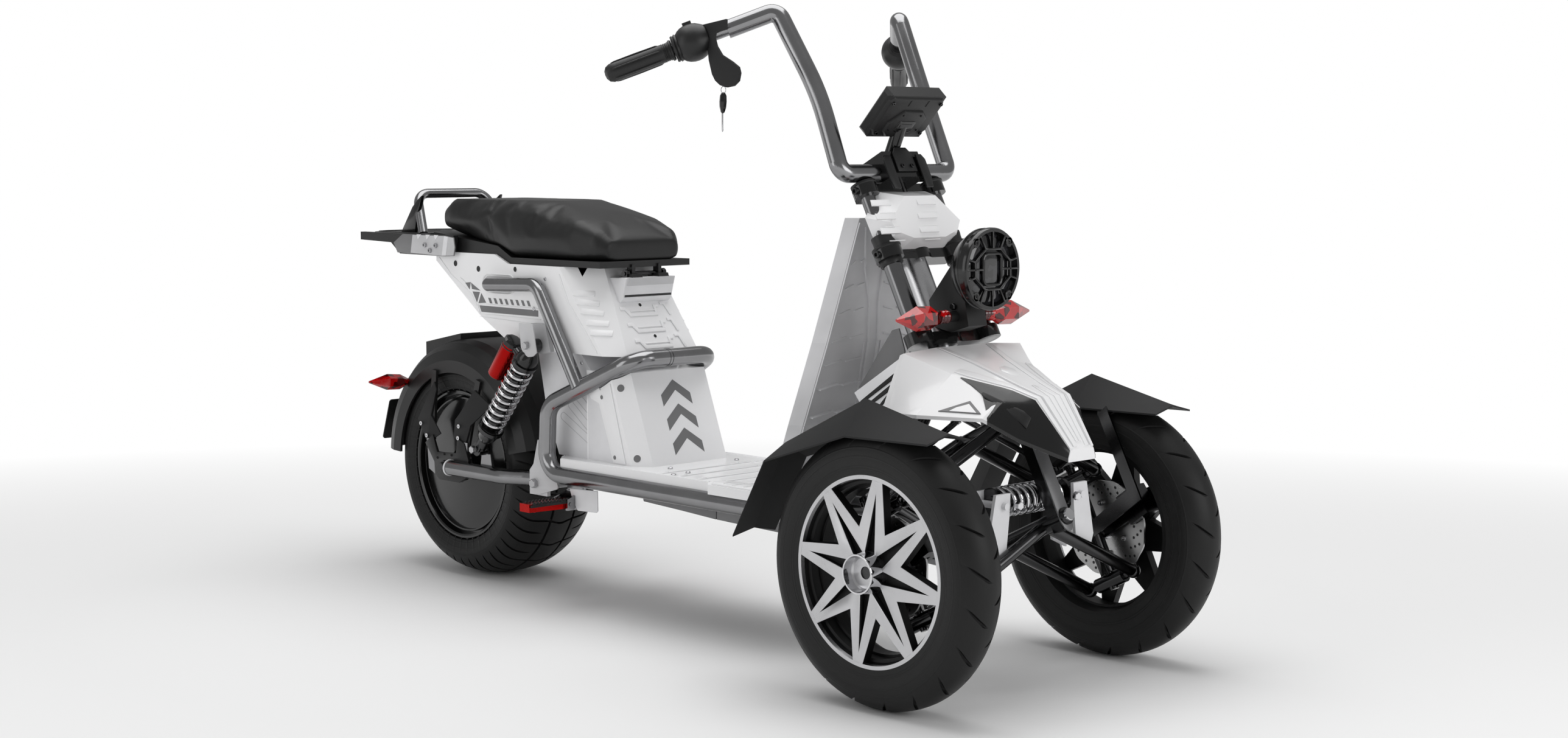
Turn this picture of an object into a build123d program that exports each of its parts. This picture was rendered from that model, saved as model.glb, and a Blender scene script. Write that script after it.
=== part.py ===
from build123d import *
from math import asin, cos, radians, sin, tan
import os

# Electric tricycle with two steered front wheels and one driven rear wheel.
# Millimetres, +Z up, front towards -Y, rider's left towards +X.
# The origin is on the ground, below the middle of the overall box.

# ---- driving dimensions ----
wheelbase = 1406.0
body_rear = 1452.0  # rear tip of the body under the seat, behind the front axle
rack_setback = 28.0  # from the body's rear tip to the rack's front edge
rack_length = 240.0
half_track = 291.0
rake = 27.0  # steering and kingpin axes lean back by this angle

front_tyre_radius = 228.0
front_tyre_width = 94.0
front_rim_radius = 163.0
rear_tyre_radius = 238.5
rear_tyre_width = 214.0
rear_rim_radius = 159.0

steering_ground_y = -148.0  # where the steering axis meets the ground, behind the front axle
kingpin_x = 247.0
kingpin_axle_y = 2.0  # kingpin axis at axle height, behind the front axle

fork_leg_x = 85.0
fork_leg_lead = 27.0  # legs stand this far ahead of the steering axis
bar_radius = 16.0
frame_tube_radius = 17.0
seat_tube_radius = 14.0
deck_top = 294.0
deck_thickness = 18.0
deck_half_width = 150.0

running_gap = 0.3  # radial clearance of a turning fit
seat_gap = 0.3  # between a soft or lifting piece and what it rests on
panel = 3.0  # wall of the moulded panels

rack_front = body_rear + rack_setback
overall_length = front_tyre_radius + rack_front + rack_length
front_axle_y = front_tyre_radius - overall_length / 2
rear_axle_y = front_axle_y + wheelbase
lean = radians(rake)
axis_up = Vector(0, sin(lean), cos(lean))
axis_rear = Vector(0, cos(lean), -sin(lean))

os.makedirs("parts", exist_ok=True)


# ---- helpers ----
def behind(distance):
    """Y of a point this far behind the front axle."""
    return front_axle_y + distance


def at(x, distance, height):
    """Point from its side offset, its distance behind the front axle and its height."""
    return Vector(x, behind(distance), height)


def steering_plane(reach):
    """Plane square to the steering axis, this far along it from the ground; local Y points to the rear."""
    origin = at(0, steering_ground_y, 0) + axis_up * reach
    return Plane(origin=origin, x_dir=(1, 0, 0), z_dir=axis_up)


def kingpin_plane(side, reach):
    """Plane square to a kingpin axis, this far above the wheel's axle along it."""
    origin = at(side * kingpin_x, kingpin_axle_y, front_tyre_radius) + axis_up * reach
    return Plane(origin=origin, x_dir=(1, 0, 0), z_dir=axis_up)


def wheel_plane(x, y, z):
    """Plane across a wheel's axle, with its normal along +X and local X along +Y."""
    return Plane(origin=(x, y, z), x_dir=(0, 1, 0), z_dir=(1, 0, 0))


def rod(start, end, radius):
    """Round bar between two points."""
    start = Vector(*start)
    span = Vector(*end) - start
    with BuildPart() as bar:
        with BuildSketch(Plane(origin=start, z_dir=span)):
            Circle(radius)
        extrude(amount=span.length)
    return bar.part


def bent_tube(points, bend, radius):
    """Round tube along straight runs with rounded bends."""
    with BuildPart() as tube:
        with BuildLine() as route:
            FilletPolyline(*points, radius=bend)
        with BuildSketch(Plane(origin=route.line @ 0, z_dir=route.line % 0)):
            Circle(radius)
        sweep()
    return tube.part


def slab(plane, outline, thickness, both=False):
    """Flat plate: an outline on a plane, made thick along the plane's normal."""
    with BuildPart() as plate:
        with BuildSketch(plane):
            with BuildLine():
                Polyline(*outline, close=True)
            make_face()
        extrude(amount=thickness, both=both)
    return plate.part


def side_plane(x):
    """Plane facing +X whose local X is the world's Y and local Y is height."""
    return Plane(origin=(x, 0, 0), x_dir=(0, 1, 0), z_dir=(1, 0, 0))


def ruled_solid(sections):
    """Solid with flat or ruled sides through outlines that have the same number of corners."""
    with BuildPart() as body:
        for corners in sections:
            first = Vector(*corners[0])
            plane = Plane(origin=(0, first.Y, 0), x_dir=(1, 0, 0), z_dir=(0, -1, 0))
            with BuildSketch(plane):
                with BuildLine():
                    Polyline(*[(x, z) for x, y, z in corners], close=True)
                make_face()
        loft(ruled=True)
    return body.part


def coil_spring(start, end, radius, wire, turns):
    """Helical spring between two points on its axis."""
    span = end - start
    with BuildPart() as spring:
        with BuildLine() as winding:
            Helix(
                pitch=span.length / turns,
                height=span.length,
                radius=radius,
                center=start,
                direction=span.normalized(),
            )
        with BuildSketch(Plane(origin=winding.line @ 0, z_dir=winding.line % 0)):
            Circle(wire)
        sweep(is_frenet=True)
    return spring.part


def mirrored(part):
    """The same piece on the other side of the vehicle."""
    return mirror(part, about=Plane.YZ)


def save(part, name):
    part.label = name
    export_step(part, f"parts/{name}.step")


# ---- front wheels ----
front_tyre_shoulder = 36.0
front_barrel_radius = 148.0
front_bead_half = 40.5
front_rim_face = 41.0  # rim face lies this far outboard of the tyre's middle
rim_ring_width = 13.0
spoke_count = 8
spoke_width = 17.0
front_hub_radius = 33.0
hub_cap_reach = 24.0
stub_axle_radius = 10.0
disc_radius = 86.0
disc_thickness = 4.0
disc_bore_radius = 20.0
disc_inboard = 10.0  # brake disc lies this far inboard of the tyre's middle


def ring_about_x(center, outline):
    """Solid revolved about an axle along X, from (along, radius) corners."""
    with BuildPart() as ring:
        with BuildSketch(Plane(origin=center, x_dir=(1, 0, 0), z_dir=(0, -1, 0))):
            with BuildLine():
                Polyline(*outline, close=True)
            make_face()
        revolve(axis=Axis(center, (1, 0, 0)))
    return ring.part


crown_facets = 3  # on each half of a tyre
tyre_sides = 48
tyre_lip = 7.0  # of rubber over the rim's edge
tyre_fit = 0.1  # between the tyre's flat bore facets and the rim


def tyre(center, radius, width, shoulder, bead, bead_half):
    """Tyre with a round crown, made of flat facets all round an axle along X."""
    half = width / 2
    curve = (half**2 + shoulder**2) / (2 * shoulder)
    reach = asin(half / curve)
    facet_turn = 360 / tyre_sides
    flat = cos(radians(facet_turn / 2))
    outline = [(-bead_half, bead + tyre_fit), (-bead_half, (bead + tyre_lip) * flat)]
    for number in range(-crown_facets, crown_facets + 1):
        turn = reach * number / crown_facets
        outline.append((curve * sin(turn), (radius - curve + curve * cos(turn)) * flat))
    outline.append((bead_half, (bead + tyre_lip) * flat))
    outline.append((bead_half, bead + tyre_fit))
    facet_half = radius * tan(radians(facet_turn / 2))
    with BuildPart() as sector:
        with BuildSketch(Plane(origin=center, x_dir=(1, 0, 0), z_dir=(0, -1, 0))):
            with BuildLine():
                Polyline(*outline, close=True)
            make_face()
        extrude(amount=2 * facet_half, both=True)
        with BuildSketch(wheel_plane(center.X, center.Y, center.Z)):
            with BuildLine():
                Polyline((0, 0), (-2 * facet_half, 2 * radius), (2 * facet_half, 2 * radius), close=True)
            make_face()
        extrude(amount=width, both=True, mode=Mode.INTERSECT)
    axle = Axis(center, (1, 0, 0))
    with BuildPart() as ring:
        add([sector.part.rotate(axle, facet_turn * (number + 0.5)) for number in range(tyre_sides)])
    return ring.part


def front_rim(side):
    """Cast rim: barrel, outer ring, eight spokes and a deep hub cup; outboard is +side."""
    center = Vector(side * half_track, front_axle_y, front_tyre_radius)
    face = front_rim_face
    barrel = [
        (-side * front_bead_half, front_rim_radius),
        (side * face, front_rim_radius),
        (side * face, front_rim_radius - rim_ring_width),
        (side * (face - 12), front_barrel_radius),
        (-side * front_bead_half, front_barrel_radius),
    ]
    hub_inner = -disc_inboard + disc_thickness
    hub = [
        (side * hub_inner, stub_axle_radius + running_gap),
        (side * hub_inner, front_hub_radius - 5),
        (side * (face - 22), front_hub_radius - 3),
        (side * (face - 14), front_hub_radius),
        (side * (face + hub_cap_reach), front_hub_radius),
        (side * (face + hub_cap_reach), front_hub_radius - 4),
        (side * (face + 4), front_hub_radius - 6),
        (side * (face + 4), stub_axle_radius + running_gap),
    ]
    spoke_plane = wheel_plane(center.X + side * (face - 10), center.Y, center.Z)
    with BuildPart() as rim:
        add(ring_about_x(center, barrel))
        add(ring_about_x(center, hub))
        with BuildSketch(spoke_plane):
            with PolarLocations(0, spoke_count, start_angle=8):
                Polygon(
                    (front_hub_radius - 3, -spoke_width * 0.75),
                    (front_barrel_radius + 2, -spoke_width / 2),
                    (front_barrel_radius + 2, spoke_width / 2),
                    (front_hub_radius - 3, spoke_width * 0.75),
                    align=None,
                )
        extrude(amount=7, both=True)
    return rim.part



def brake_disc(side):
    """Flat brake disc bolted to the inboard end of the hub."""
    near = side * (half_track - disc_inboard)
    center = Vector(near, front_axle_y, front_tyre_radius)
    outline = [
        (0, disc_bore_radius),
        (0, disc_radius),
        (side * disc_thickness, disc_radius),
        (side * disc_thickness, disc_bore_radius),
    ]
    return ring_about_x(center, outline)


def kingpin_point(side, rearward, reach):
    """Point beside a kingpin: rearward of its axis and this far along it from axle height."""
    return kingpin_plane(side, reach).origin + axis_rear * rearward


for side, word in ((-1, "right"), (1, "left")):
    middle = Vector(side * half_track, front_axle_y, front_tyre_radius)
    front_tyre = tyre(
        middle, front_tyre_radius, front_tyre_width, front_tyre_shoulder, front_rim_radius, front_bead_half
    )
    save(front_tyre, f"front_tyre_{word}")
    save(front_rim(side), f"front_rim_{word}")
    save(brake_disc(side), f"brake_disc_{word}")


# ---- knuckles: kingpin, stub axle, caliper, steering arm and fender bracket ----
trunnion_reach = 95.0  # trunnions lie this far above and below the axle along the kingpin
trunnion_half_length = 40.0
trunnion_radius = 13.0
ball_radius = 13.0
ball_offset = 52.0  # ball joints lie this far ahead of and behind the kingpin
kingpin_radius = 15.0
kingpin_tip_radius = 8.0
kingpin_half_length = 80.0
steering_arm_length = 32.0
steering_arm_reach = 122.0  # top face of the steering arm, above the upper trunnion
steering_arm_thickness = 7.0
tie_pin_radius = 4.0
tie_eye_radius = 9.0
tie_eye_height = 7.0
fender_strip_near = 110.0  # fender bracket stands this far ahead of the kingpin
fender_strip_width = 22.0
fender_strip_x = 236.0
fender_strip_top = 181.0  # along the kingpin from axle height
fender_strip_thickness = 4.0
caliper_angle = 143.0  # caliper's place round the axle, from the rear, over the top
caliper_radius = 84.0


def knuckle(side):
    strip_plane = side_plane(side * fender_strip_x)

    def flat(rearward, reach):
        point = kingpin_point(side, rearward, reach)
        return (point.Y, point.Z)

    far = fender_strip_near + fender_strip_width
    strip = [
        flat(-8, 12),
        flat(-fender_strip_near, 34),
        flat(-fender_strip_near, fender_strip_top - 3),
        flat(-far, fender_strip_top + 3),
        flat(-far, 10),
        flat(-8, -14),
    ]
    arm_plane = kingpin_plane(side, steering_arm_reach)
    disc_x = side * (half_track - disc_inboard + disc_thickness / 2)
    around = radians(caliper_angle)
    caliper_center = Vector(
        disc_x,
        front_axle_y + caliper_radius * cos(around),
        front_tyre_radius + caliper_radius * sin(around),
    )
    caliper_plane = Plane(
        origin=caliper_center, x_dir=(0, cos(around), sin(around)), z_dir=(1, 0, 0)
    )
    inboard_plane = side_plane(side * (kingpin_x + 14))
    with BuildPart() as piece:
        add(rod(kingpin_point(side, 0, -kingpin_half_length), kingpin_point(side, 0, kingpin_half_length), kingpin_radius))
        add(rod(kingpin_point(side, 0, -trunnion_reach - 16), kingpin_point(side, 0, steering_arm_reach), kingpin_tip_radius))
        axle_start = Vector(side * kingpin_x, front_axle_y, front_tyre_radius)
        axle_end = Vector(side * (half_track + front_rim_face + 2), front_axle_y, front_tyre_radius)
        boss_end = Vector(side * (half_track - disc_inboard - 4), front_axle_y, front_tyre_radius)
        add(rod(axle_start, axle_end, stub_axle_radius))
        add(rod(axle_start, boss_end, stub_axle_radius + 7))
        add(slab(strip_plane, strip, fender_strip_thickness / 2, both=True))
        with BuildSketch(arm_plane):
            with Locations((0, steering_arm_length)):
                Circle(tie_eye_radius)
            with Locations((0, steering_arm_length / 2)):
                Rectangle(14, steering_arm_length)
            Circle(kingpin_tip_radius + 5)
        extrude(amount=-steering_arm_thickness)
        with BuildSketch(arm_plane):
            with Locations((0, steering_arm_length)):
                Circle(tie_pin_radius)
        extrude(amount=tie_eye_height + 3)
        with BuildSketch(caliper_plane):
            Rectangle(44, 56)
        extrude(amount=17, both=True)
        with BuildSketch(Plane(origin=(side * (half_track - 24), 0, 0), x_dir=(0, 1, 0), z_dir=(1, 0, 0))):
            with BuildLine():
                Polyline(
                    (front_axle_y - 12, front_tyre_radius + 14),
                    (caliper_center.Y + 20, caliper_center.Z + 16),
                    (caliper_center.Y - 8, caliper_center.Z - 20),
                    (front_axle_y - 12, front_tyre_radius - 14),
                    (front_axle_y + 14, front_tyre_radius),
                    close=True,
                )
            make_face()
        extrude(amount=3, both=True)
        slot = [
            (-disc_thickness / 2 - 3, 20),
            (-disc_thickness / 2 - 3, disc_radius + 5),
            (disc_thickness / 2 + 3, disc_radius + 5),
            (disc_thickness / 2 + 3, 20),
        ]
        add(ring_about_x(Vector(disc_x, front_axle_y, front_tyre_radius), slot), mode=Mode.SUBTRACT)
    return piece.part


# ---- front fenders: folded plates over the tyres ----
fender_half_width = 50.0
fender_crease = [
    (-134, 458, 12),
    (43, 500, 56),
    (228, 412, 26),
    (304, 262, 10),
]  # distance behind the axle, crease height, drop to the side edges


def front_fender(side):
    sections = []
    for distance, height, drop in fender_crease:
        y = behind(distance)
        left, right = -fender_half_width, fender_half_width
        outline = [
            (left, height - drop),
            (0, height),
            (right, height - drop),
            (right, height - drop - panel),
            (0, height - panel),
            (left, height - drop - panel),
        ]
        sections.append([(x + side * half_track, y, z) for x, z in outline])
    return ruled_solid(sections)


def fender_tab(side):
    """Flange at the top of the fender's bracket, against the fender's underside."""
    strip_top = kingpin_point(side, -fender_strip_near - fender_strip_width / 2, fender_strip_top)
    tab_x = side * (fender_strip_x + 16)
    root_x = side * (fender_strip_x + 3)
    with BuildPart() as tab:
        add(Pos(0, 0, -panel) * front_fender(side))
        with Locations((tab_x, strip_top.Y, strip_top.Z + 6)):
            Box(22, 18, 60, mode=Mode.INTERSECT)
        with Locations((root_x, strip_top.Y, strip_top.Z - 6)):
            Box(10, 18, 7)
    return tab.part


for side, word in ((-1, "right"), (1, "left")):
    fender = front_fender(side)
    with BuildPart() as front_knuckle:
        add(knuckle(side))
        add(fender_tab(side))
        add(fender, mode=Mode.SUBTRACT)
    save(front_knuckle.part, f"knuckle_{word}")
    save(fender, f"front_fender_{word}")


# ---- steering assembly: column, crowns, legs, bars and all they carry ----
column_radius = 24.0
stem_radius = 12.0
stem_low_reach = 524.0
brace_reach = 624.0
brace_thickness = 22.0
lower_crown_reach = 783.0
lower_crown_thickness = 22.0
top_crown_reach = 903.0
top_crown_thickness = 22.0
bar_rise = 19.0  # handlebar's axis above the top crown
bar_reach = top_crown_reach + top_crown_thickness + bar_rise
bar_lead = 33.0
leg_radius = 16.0
stanchion_radius = 13.0
sleeve_radius = 19.0
sleeve_length = 46.0
head_tube_low = 548.0
head_tube_high = 618.0
head_tube_radius = 26.0
riser_half_width = 46.0
riser_length = 62.0
pitman_gap = 2.0
tie_eye_spacing = 11.0  # between the stacked inner eyes
tie_rod_radius = 5.5


def steer_point(x, rearward, reach):
    """Point placed from the steering axis: side offset, distance to its rear, distance along it."""
    return steering_plane(reach).origin + axis_rear * rearward + Vector(x, 0, 0)


def crown_plate(reach, thickness, leg_bore):
    """Clamp plate that joins both legs and the column."""
    with BuildPart() as plate:
        with BuildSketch(steering_plane(reach)):
            with Locations((-fork_leg_x, -fork_leg_lead), (fork_leg_x, -fork_leg_lead)):
                Circle(leg_bore + 9)
            Circle(column_radius + 11)
            with Locations((0, -fork_leg_lead / 2)):
                Rectangle(2 * fork_leg_x, 34)
        extrude(amount=thickness)
    return plate.part


top_of_stanchion = top_crown_reach + top_crown_thickness
sleeve_low = lower_crown_reach - 8
with BuildPart() as fork_legs:
    for side in (-1, 1):
        x = side * fork_leg_x
        low = steer_point(x, -fork_leg_lead, brace_reach)
        middle = steer_point(x, -fork_leg_lead, sleeve_low)
        sleeve_top = steer_point(x, -fork_leg_lead, sleeve_low + sleeve_length)
        top = steer_point(x, -fork_leg_lead, top_of_stanchion)
        add(rod(low, middle, leg_radius))
        add(rod(middle, sleeve_top, sleeve_radius))
        add(rod(middle, top, stanchion_radius))

with BuildPart() as steering_stem:
    add(rod(steer_point(0, 0, brace_reach), steer_point(0, 0, top_of_stanchion), column_radius))
    add(rod(steer_point(0, 0, stem_low_reach), steer_point(0, 0, brace_reach), stem_radius))
    with BuildSketch(steering_plane(stem_low_reach)):
        Circle(stem_radius + 7)
        with Locations((0, steering_arm_length / 2)):
            Rectangle(20, steering_arm_length)
        with Locations((0, steering_arm_length)):
            Circle(tie_eye_radius)
    extrude(amount=12)
    with BuildSketch(steering_plane(stem_low_reach)):
        with Locations((0, steering_arm_length)):
            Circle(tie_pin_radius)
    extrude(amount=-(2 * tie_eye_height + tie_eye_spacing + 2 * pitman_gap))

riser_center = (0, -bar_lead + 6)
with BuildPart() as fork_crowns:
    add(crown_plate(brace_reach, brace_thickness, leg_radius))
    add(crown_plate(lower_crown_reach, lower_crown_thickness, leg_radius))
    add(crown_plate(top_crown_reach, top_crown_thickness, stanchion_radius))
    with BuildSketch(steering_plane(top_of_stanchion)):
        with Locations(riser_center):
            Rectangle(2 * riser_half_width, riser_length)
    extrude(amount=bar_reach - top_of_stanchion + bar_radius + 14)
    add(fork_legs.part, mode=Mode.SUBTRACT)
    add(steering_stem.part, mode=Mode.SUBTRACT)

# Handlebar: a bent tube with two sharp mitres on each side.
bar_half_span = 137.0
stub_length = 92.0
grip_length = 122.0
grip_radius = 17.0
housing_radius = 33.0
bar_end_radius = 11.0

bar_low_corner = steer_point(bar_half_span, -bar_lead, bar_reach)
bar_bow = bar_low_corner + Vector(-4, 57, 136)
bar_top_corner = bar_low_corner + Vector(17, 138, 280)
bar_end = bar_low_corner + Vector(233, 337, 170)
outward = (bar_end - bar_top_corner).normalized()
grip_start = bar_end - outward * grip_length
stub_end = bar_top_corner + outward * stub_length
housing_center = grip_start - outward * (housing_radius + 4)
corner_bend = 19.0
bow_bend = 500.0


def other_side(point):
    return Vector(-point.X, point.Y, point.Z)




def cut_end(part, plane, keep):
    """The piece on one side of a plane."""
    with BuildPart() as kept:
        add(part)
        split(bisect_by=plane, keep=keep)
    return kept.part


bar_corners = [stub_end, bar_top_corner, bar_bow, bar_low_corner]
bar_route = bar_corners + [other_side(point) for point in reversed(bar_corners)]
bar_bends = [corner_bend, bow_bend, corner_bend, corner_bend, bow_bend, corner_bend]
with BuildPart() as handlebar:
    with BuildLine() as bar_line:
        FilletPolyline(*bar_route, radius=bar_bends)
    with BuildSketch(Plane(origin=bar_line.line @ 0, z_dir=bar_line.line % 0)):
        Circle(bar_radius)
    sweep()
    for end, start in ((stub_end, bar_end), (other_side(stub_end), other_side(bar_end))):
        add(rod(end, start, bar_end_radius))

with BuildPart() as grips:
    add(rod(grip_start, bar_end + outward * 4, grip_radius))
    mirror(about=Plane.YZ)
    add(handlebar.part, mode=Mode.SUBTRACT)

# distance along the bar from the housing's middle, radius
housing_outline = [
    (-33, bar_end_radius),
    (-33, 15),
    (-27, 24),
    (-14, 31),
    (0, housing_radius),
    (14, 31),
    (24, 24),
    (37, 23),
    (37, bar_end_radius),
]
housing_across = Vector(outward.Y, -outward.X, 0).normalized()
with BuildPart() as switch_housings:
    with BuildSketch(Plane(origin=housing_center, x_dir=outward, z_dir=housing_across)):
        with BuildLine():
            Polyline(*housing_outline, close=True)
        make_face()
    revolve(axis=Axis(housing_center, outward))
    mirror(about=Plane.YZ)

with BuildPart() as crowns_cut:
    add(fork_crowns.part)
    add(handlebar.part, mode=Mode.SUBTRACT)

# Display: a flat case on a bracket, screen towards the rider.
display_width = 146.0
display_height = 94.0
display_depth = 24.0
display_center = steer_point(0, -bar_lead, bar_reach) + Vector(0, -25, 98)
display_plane = Plane(origin=display_center, x_dir=(1, 0, 0), z_dir=(0, 0.64, 0.6))
riser_top = steer_point(0, riser_center[1], bar_reach + bar_radius + 14)
with BuildPart() as display:
    with BuildSketch(display_plane):
        Rectangle(display_width, display_height)
    extrude(amount=display_depth)
    chamfer(display.edges().filter_by(GeomType.LINE).group_by(Axis.X)[0], 6)
    chamfer(display.edges().filter_by(GeomType.LINE).group_by(Axis.X)[-1], 6)
bracket_top = display_center + Vector(0, -4, -6)
with BuildPart() as display_bracket:
    add(rod(riser_top - axis_up * 4, bracket_top + Vector(0, 10, 10), 12))
    add(display.part, mode=Mode.SUBTRACT)
    add(crowns_cut.part, mode=Mode.SUBTRACT)

# Nose shield: a faceted cover in front of the legs, hollow behind.
shield_top_point = at(0, 201, 837)
shield_low_point = at(0, 163, 728)
shield_wrap = 38.0  # the sides reach this far back
shield_chamfer = 20.0
shield_rise = shield_top_point - shield_low_point
shield_plane = Plane(
    origin=shield_low_point, x_dir=(1, 0, 0), z_dir=Vector(0, -shield_rise.Z, shield_rise.Y)
)
shield_height = shield_rise.length
shield_half_outline = [(60, shield_height), (108, shield_height - 46), (96, 12), (60, 0)]


def both_halves(half, inset):
    """Closed outline from its half, drawn in by an inset all round."""
    middle = shield_height / 2
    left = [(x - inset, y - inset if y > middle else y + inset) for x, y in half]
    return left + [(-x, y) for x, y in reversed(left)]


def shield_block(front, back, front_inset, back_inset):
    """Solid between two outlines in front of the legs."""
    with BuildPart() as block:
        for depth, inset in ((front, front_inset), (back, back_inset)):
            with BuildSketch(shield_plane.offset(-depth)):
                with BuildLine():
                    Polyline(*both_halves(shield_half_outline, inset), close=True)
                make_face()
        loft(ruled=True)
    return block.part


with BuildPart() as nose_shield:
    add(shield_block(0, shield_wrap, shield_chamfer, 0))
    add(shield_block(panel, shield_wrap + 1, shield_chamfer + panel, panel), mode=Mode.SUBTRACT)
    add(fork_legs.part, mode=Mode.SUBTRACT)
    add(steering_stem.part, mode=Mode.SUBTRACT)
    add(crowns_cut.part, mode=Mode.SUBTRACT)

# Headlight with its caged face, and the two front indicators.
headlight_radius = 70.0
headlight_depth = 52.0
light_axis_plane = Plane(origin=at(0, 34, 697), x_dir=(1, 0, 0), z_dir=(0, -1, 0))
cage_rib = 5.0
headlight_bowl = [(0, headlight_radius), (20, 66), (38, 52), (headlight_depth, 28)]  # depth, radius
with BuildPart() as headlight:
    with BuildSketch(light_axis_plane):
        Circle(headlight_radius)
        Circle(headlight_radius - 8, mode=Mode.SUBTRACT)
        Rectangle(cage_rib, 2 * headlight_radius - 8)
        Rectangle(2 * headlight_radius - 8, cage_rib)
        RectangleRounded(52, 58, 12)
        RectangleRounded(42, 48, 8, mode=Mode.SUBTRACT)
    extrude(amount=7)
    for depth, radius in headlight_bowl:
        with BuildSketch(light_axis_plane.offset(-depth)):
            Circle(radius)
    loft(ruled=True)
    with BuildSketch(light_axis_plane):
        Circle(headlight_radius - 8)
    extrude(amount=-12, mode=Mode.SUBTRACT)
with BuildPart() as headlight_lens:
    with BuildSketch(light_axis_plane.offset(-12)):
        Circle(headlight_radius - 8)
    extrude(amount=9)

light_back = at(0, 34 + headlight_depth, 697)
with BuildPart() as light_bracket:
    with BuildSketch(side_plane(0)):
        with BuildLine():
            Polyline(
                (behind(60), 600),
                (behind(78), 690),
                (light_back.Y + 6, 712),
                (behind(150), 640),
                (behind(138), 596),
                (behind(100), 588),
                close=True,
            )
        make_face()
    extrude(amount=24, both=True)
    add(rod(at(-64, 90, 616), at(64, 90, 616), 9))
    add(headlight.part, mode=Mode.SUBTRACT)
    add(crowns_cut.part, mode=Mode.SUBTRACT)
    add(fork_legs.part, mode=Mode.SUBTRACT)
    add(steering_stem.part, mode=Mode.SUBTRACT)


def crystal(root, direction, length, radius):
    """Faceted lamp: eight-sided sections that swell and then close to a tip."""
    shape = [(0.0, 0.4), (0.22, 0.95), (0.55, 1.0), (1.0, 0.12)]
    with BuildPart() as lamp:
        for along, swell in shape:
            with BuildSketch(Plane(origin=root + direction * (along * length), x_dir=(0, 0, 1), z_dir=direction)):
                RegularPolygon(radius * swell, 6)
        loft(ruled=True)
    return lamp.part


with BuildPart() as front_indicators:
    add(crystal(at(64, 90, 616), Vector(1, 0, 0), 106, 21))
    mirror(about=Plane.YZ)

save(fork_legs.part, "fork_legs")
save(steering_stem.part, "steering_stem")
with BuildPart() as fork_crowns:
    add(crowns_cut.part)
    add(display_bracket.part)
save(fork_crowns.part, "fork_crowns")
save(handlebar.part, "handlebar")
save(grips.part, "grips")
save(switch_housings.part, "switch_housings")
save(display.part, "display")
save(nose_shield.part, "nose_shield")
save(headlight.part, "headlight")
save(headlight_lens.part, "headlight_lens")
save(light_bracket.part, "light_bracket")
save(front_indicators.part, "front_indicators")


# ---- tie rods ----
def tie_rod(side):
    """Rod from the pitman pin to a knuckle's steering arm, with an eye at each end."""
    drop = pitman_gap + (tie_eye_height + tie_eye_spacing) * (0 if side > 0 else 1)
    inner_low = stem_low_reach - drop - tie_eye_height
    inner = steer_point(0, steering_arm_length, inner_low)
    outer = kingpin_point(side, steering_arm_length, steering_arm_reach + 1)
    middle_in = inner + axis_up * (tie_eye_height / 2)
    middle_out = outer + axis_up * (tie_eye_height / 2)
    with BuildPart() as tie:
        add(rod(middle_in, middle_out, tie_rod_radius))
        add(rod(inner, inner + axis_up * tie_eye_height, tie_eye_radius))
        add(rod(outer, outer + axis_up * tie_eye_height, tie_eye_radius))
        add(rod(inner - axis_up * 20, inner + axis_up * 30, tie_pin_radius + running_gap), mode=Mode.SUBTRACT)
        add(rod(outer - axis_up * 20, outer + axis_up * 30, tie_pin_radius + running_gap), mode=Mode.SUBTRACT)
    return tie.part


for side, word in ((-1, "right"), (1, "left")):
    save(tie_rod(side), f"tie_rod_{word}")


# ---- front frame: tilt bar, arm pivots, head tube and backbone ----
pivot_tube_radius = 15.0
lower_pivot_front = at(0, -120, 290)
lower_pivot_length = 205.0
pivot_spacing = 187.0  # upper pivot above the lower one, along the kingpin direction
upper_pivot_length = 150.0
tilt_bar_width = 26.0
tilt_bar_depth = 22.0
backbone_radius = 17.0
web_half = 9.0
hood_post_top = 521.8  # a post under the hood ends in its wall

upper_pivot_front = lower_pivot_front + axis_up * pivot_spacing
lower_pivot_rear = lower_pivot_front + axis_rear * lower_pivot_length
upper_pivot_rear = upper_pivot_front + axis_rear * upper_pivot_length
with BuildPart() as front_frame:
    add(rod(lower_pivot_front - axis_rear * 18, lower_pivot_rear, pivot_tube_radius))
    add(rod(upper_pivot_front - axis_rear * 4, upper_pivot_rear, pivot_tube_radius))
    tilt_plane = Plane(origin=lower_pivot_front, x_dir=(1, 0, 0), z_dir=axis_up)
    with BuildSketch(tilt_plane.offset(-20)):
        Rectangle(tilt_bar_width, tilt_bar_depth)
    extrude(amount=pivot_spacing + 34)
    with BuildSketch(Plane(origin=steering_plane(head_tube_low).origin, x_dir=(1, 0, 0), z_dir=axis_up)):
        Circle(head_tube_radius)
    extrude(amount=head_tube_high - head_tube_low)
    with BuildSketch(side_plane(0)):
        with BuildLine():
            Polyline(
                (behind(72), 496),
                (behind(100), 536),
                (behind(-34), 478),
                (behind(-34), 455),
                (behind(36), 418),
                close=True,
            )
        make_face()
    extrude(amount=web_half, both=True)
    with Locations(at(0, -20, (460 + hood_post_top) / 2)):
        Box(30, 6, hood_post_top - 460)
    add(rod(upper_pivot_rear - axis_rear * 12, at(0, 300, 262), backbone_radius))
    add(rod(at(0, 300, 262), at(0, 420, 258), backbone_radius))
    add(rod(at(0, 146, 512), at(0, 262, 290), backbone_radius))
    add(rod(lower_pivot_rear - axis_rear * 10, at(0, 262, 275), backbone_radius - 3))
    with BuildSketch(steering_plane(head_tube_low - 1)):
        Circle(stem_radius + running_gap)
    extrude(amount=head_tube_high - head_tube_low + 2, mode=Mode.SUBTRACT)

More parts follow.
